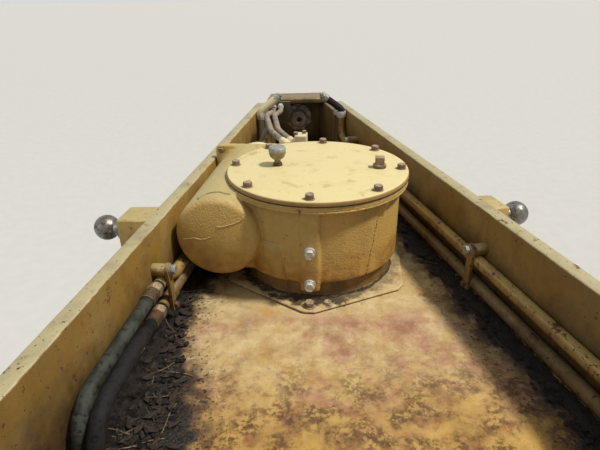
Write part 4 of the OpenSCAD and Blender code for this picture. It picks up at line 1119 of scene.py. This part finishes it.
strips = [
    heap(rail_foot(1), lambda s: inward(1), 260, lambda s: 0.038 + 0.010 * math.sin(9 * s), 0.011, 3.0),
    heap(rail_foot(-1), lambda s: inward(-1), 260,
         lambda s: 0.050 + 0.075 * max(0.0, (s - 0.60) / 0.4) ** 0.8, 0.014, 11.0),
]
hand_over(join(strips, "deck_dirt"), "greasy_iron", DIRT)
ring_dirt = heap(lambda s: round_case(0.189, 360 * s, -0.2598), outwards, 240,
                 lambda s: 0.005 + 0.016 * max(0.0, noise.noise(Vector((17 * s, 3.3, 0.5))) + 0.1),
                 0.007, 5.0)
hand_over(ring_dirt, "rusty_iron", RUST_DIRT)

# %% Twigs, flakes and clods
LITTER_COUNT = 620
dice = random.Random(11)


def litter_model(kind, **settings):
    """Small model of a flake or a clod with its corners moved at random."""
    obj = primitive(kind, **settings)
    for vertex in obj.data.vertices:
        vertex.co *= 0.60 + 0.75 * dice.random()
        vertex.co.z *= 0.5
    return obj


def room(side, y):
    """Width of the littered strip beside a rail: more at the rear, and more on the left."""
    behind = max(0.0, min(1.0, (-1.48 - y) / 0.5))
    return (0.020 + 0.125 * behind if side < 0 else 0.030) + 0.050 * max(0.0, (-1.93 - y) / 0.25)


models = {}
for k in range(3):
    flake = litter_model("circle", vertices=7, radius=0.008, fill_type="NGON")
    flake.data.transform(Matrix.Diagonal((1.5, 0.7, 1, 1)))
    for j, vertex in enumerate(flake.data.vertices):
        vertex.co.z = 0.0016 * (j % 3)
    models["flake_%d" % k] = modify(flake, "SOLIDIFY", thickness=0.0009, offset=1.0)
models["clod"] = litter_model("ico_sphere", subdivisions=1, radius=0.006)
for k in range(3):
    bow = [Vector((x, 0.004 * math.sin(x * 70 + k * 2.1), 0.0008 * math.cos(x * 90)))
           for x in (-0.032, -0.020, -0.007, 0.006, 0.019, 0.031)]
    models["stick_%d" % k] = pipe("stick", [bow], 0.0020, ripple=0.4, sides=0)
strewn = {name: [] for name in models}
for k in range(LITTER_COUNT):
    side = -1 if k % 3 else 1
    back = dice.random()
    y = -1.42 - 0.80 * back ** 0.7 if k % 6 else -0.5 - 0.9 * dice.random()
    off = 0.028 + room(side, y) * dice.random() ** 0.9
    place = beside(side, y, off, DECK_TOP + 0.0025 + 0.007 * dice.random() * max(0.0, 1 - off / 0.14))
    turn, tip = dice.uniform(0, math.tau), dice.uniform(-0.3, 0.3)
    lie = Matrix.Translation(place) @ Matrix.Rotation(turn, 4, "Z") @ Matrix.Rotation(tip, 4, "X")
    kind = "clod" if k % 2 else ("stick_%d" if k % 8 == 0 else "flake_%d") % dice.randrange(3)
    strewn[kind].append(lie @ Matrix.Scale(dice.uniform(0.45, 1.25), 4))
for name, stem, finish in (("deck_flakes", "flake_%d", LITTER), ("deck_twigs", "stick_%d", TWIG)):
    groups = [set_out(models[stem % k], strewn[stem % k], stem % k) for k in range(3)]
    hand_over(join(groups, name), "greasy_iron", finish)
hand_over(set_out(models["clod"], strewn["clod"], "deck_clods"), "greasy_iron", DIRT)
for model in models.values():
    bpy.data.objects.remove(model)
print("litter pieces:", sum(len(places) for places in strewn.values()))

# %% [markdown]
# ## Light and floor
# A sun stands high on the right with a slightly soft edge to its shadows, a weak lamp fills the left,
# and the sky's part is a plain pale world. The floor is pale and runs to the horizon.

# %% Light and floor
def lamp(name, kind, place, power, colour, **settings):
    """Lamp at a place, aimed at the middle of the frame."""
    light = bpy.data.lights.new(name, kind)
    light.energy, light.color = power, tone(colour)[:3]
    for key, value in settings.items():
        setattr(light, key, value)
    obj = bpy.data.objects.new(name, light)
    obj.matrix_world = aim(Vector(place), (Vector(place) - Vector((0.0, -1.4, 0.0))).normalized())
    bpy.context.scene.collection.objects.link(obj)


lamp("sun_right", "SUN", (3.1, -2.15, 5.1), 3.75, "#FFF9EE", angle=0.12)
lamp("fill_left", "AREA", (-3.4, -3.4, 2.2), 25, "#F2F6FF", shape="DISK", size=3.0)
world = bpy.data.worlds.new("pale_sky")
bpy.context.scene.world = world
world.use_nodes = True
tree, sky = world.node_tree, world.node_tree.nodes["Background"]
shown = add(tree, "LightPath", out="Is Camera Ray")
for kind in ("Is Glossy Ray", "Is Transmission Ray"):
    shown = add(tree, "Math", {0: shown, 1: add(tree, "LightPath", out=kind)}, operation="MAXIMUM")
sky.inputs["Color"].default_value = tone("#EEF0F2")
tree.links.new(add(tree, "MapRange", {0: shown, 3: 0.41, 4: 0.80}), sky.inputs["Strength"])

floor_coat, tree = start("pale_concrete")
shader = tree.nodes["Principled BSDF"]
tree.links.new(mottle(tree, "#BCBCBA", "#C0C0BE", 0.08, 0.3, 0.7, detail=8), shader.inputs["Base Color"])
shader.inputs["Roughness"].default_value = 0.9
floor = settle(primitive("plane", size=120, location=(0, 0, -0.97)))
floor.name = "pale_floor"
floor.data.materials.append(floor_coat)
floor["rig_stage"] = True

# %% View and size
bpy.context.scene.view_settings.view_transform = "Standard"
visual_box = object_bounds()
grown = [visual_box[1][k] - visual_box[0][k] - (CAD_BOX[1][k] - CAD_BOX[0][k]) for k in range(3)]
print("grown:", [round(length, 4) for length in grown])
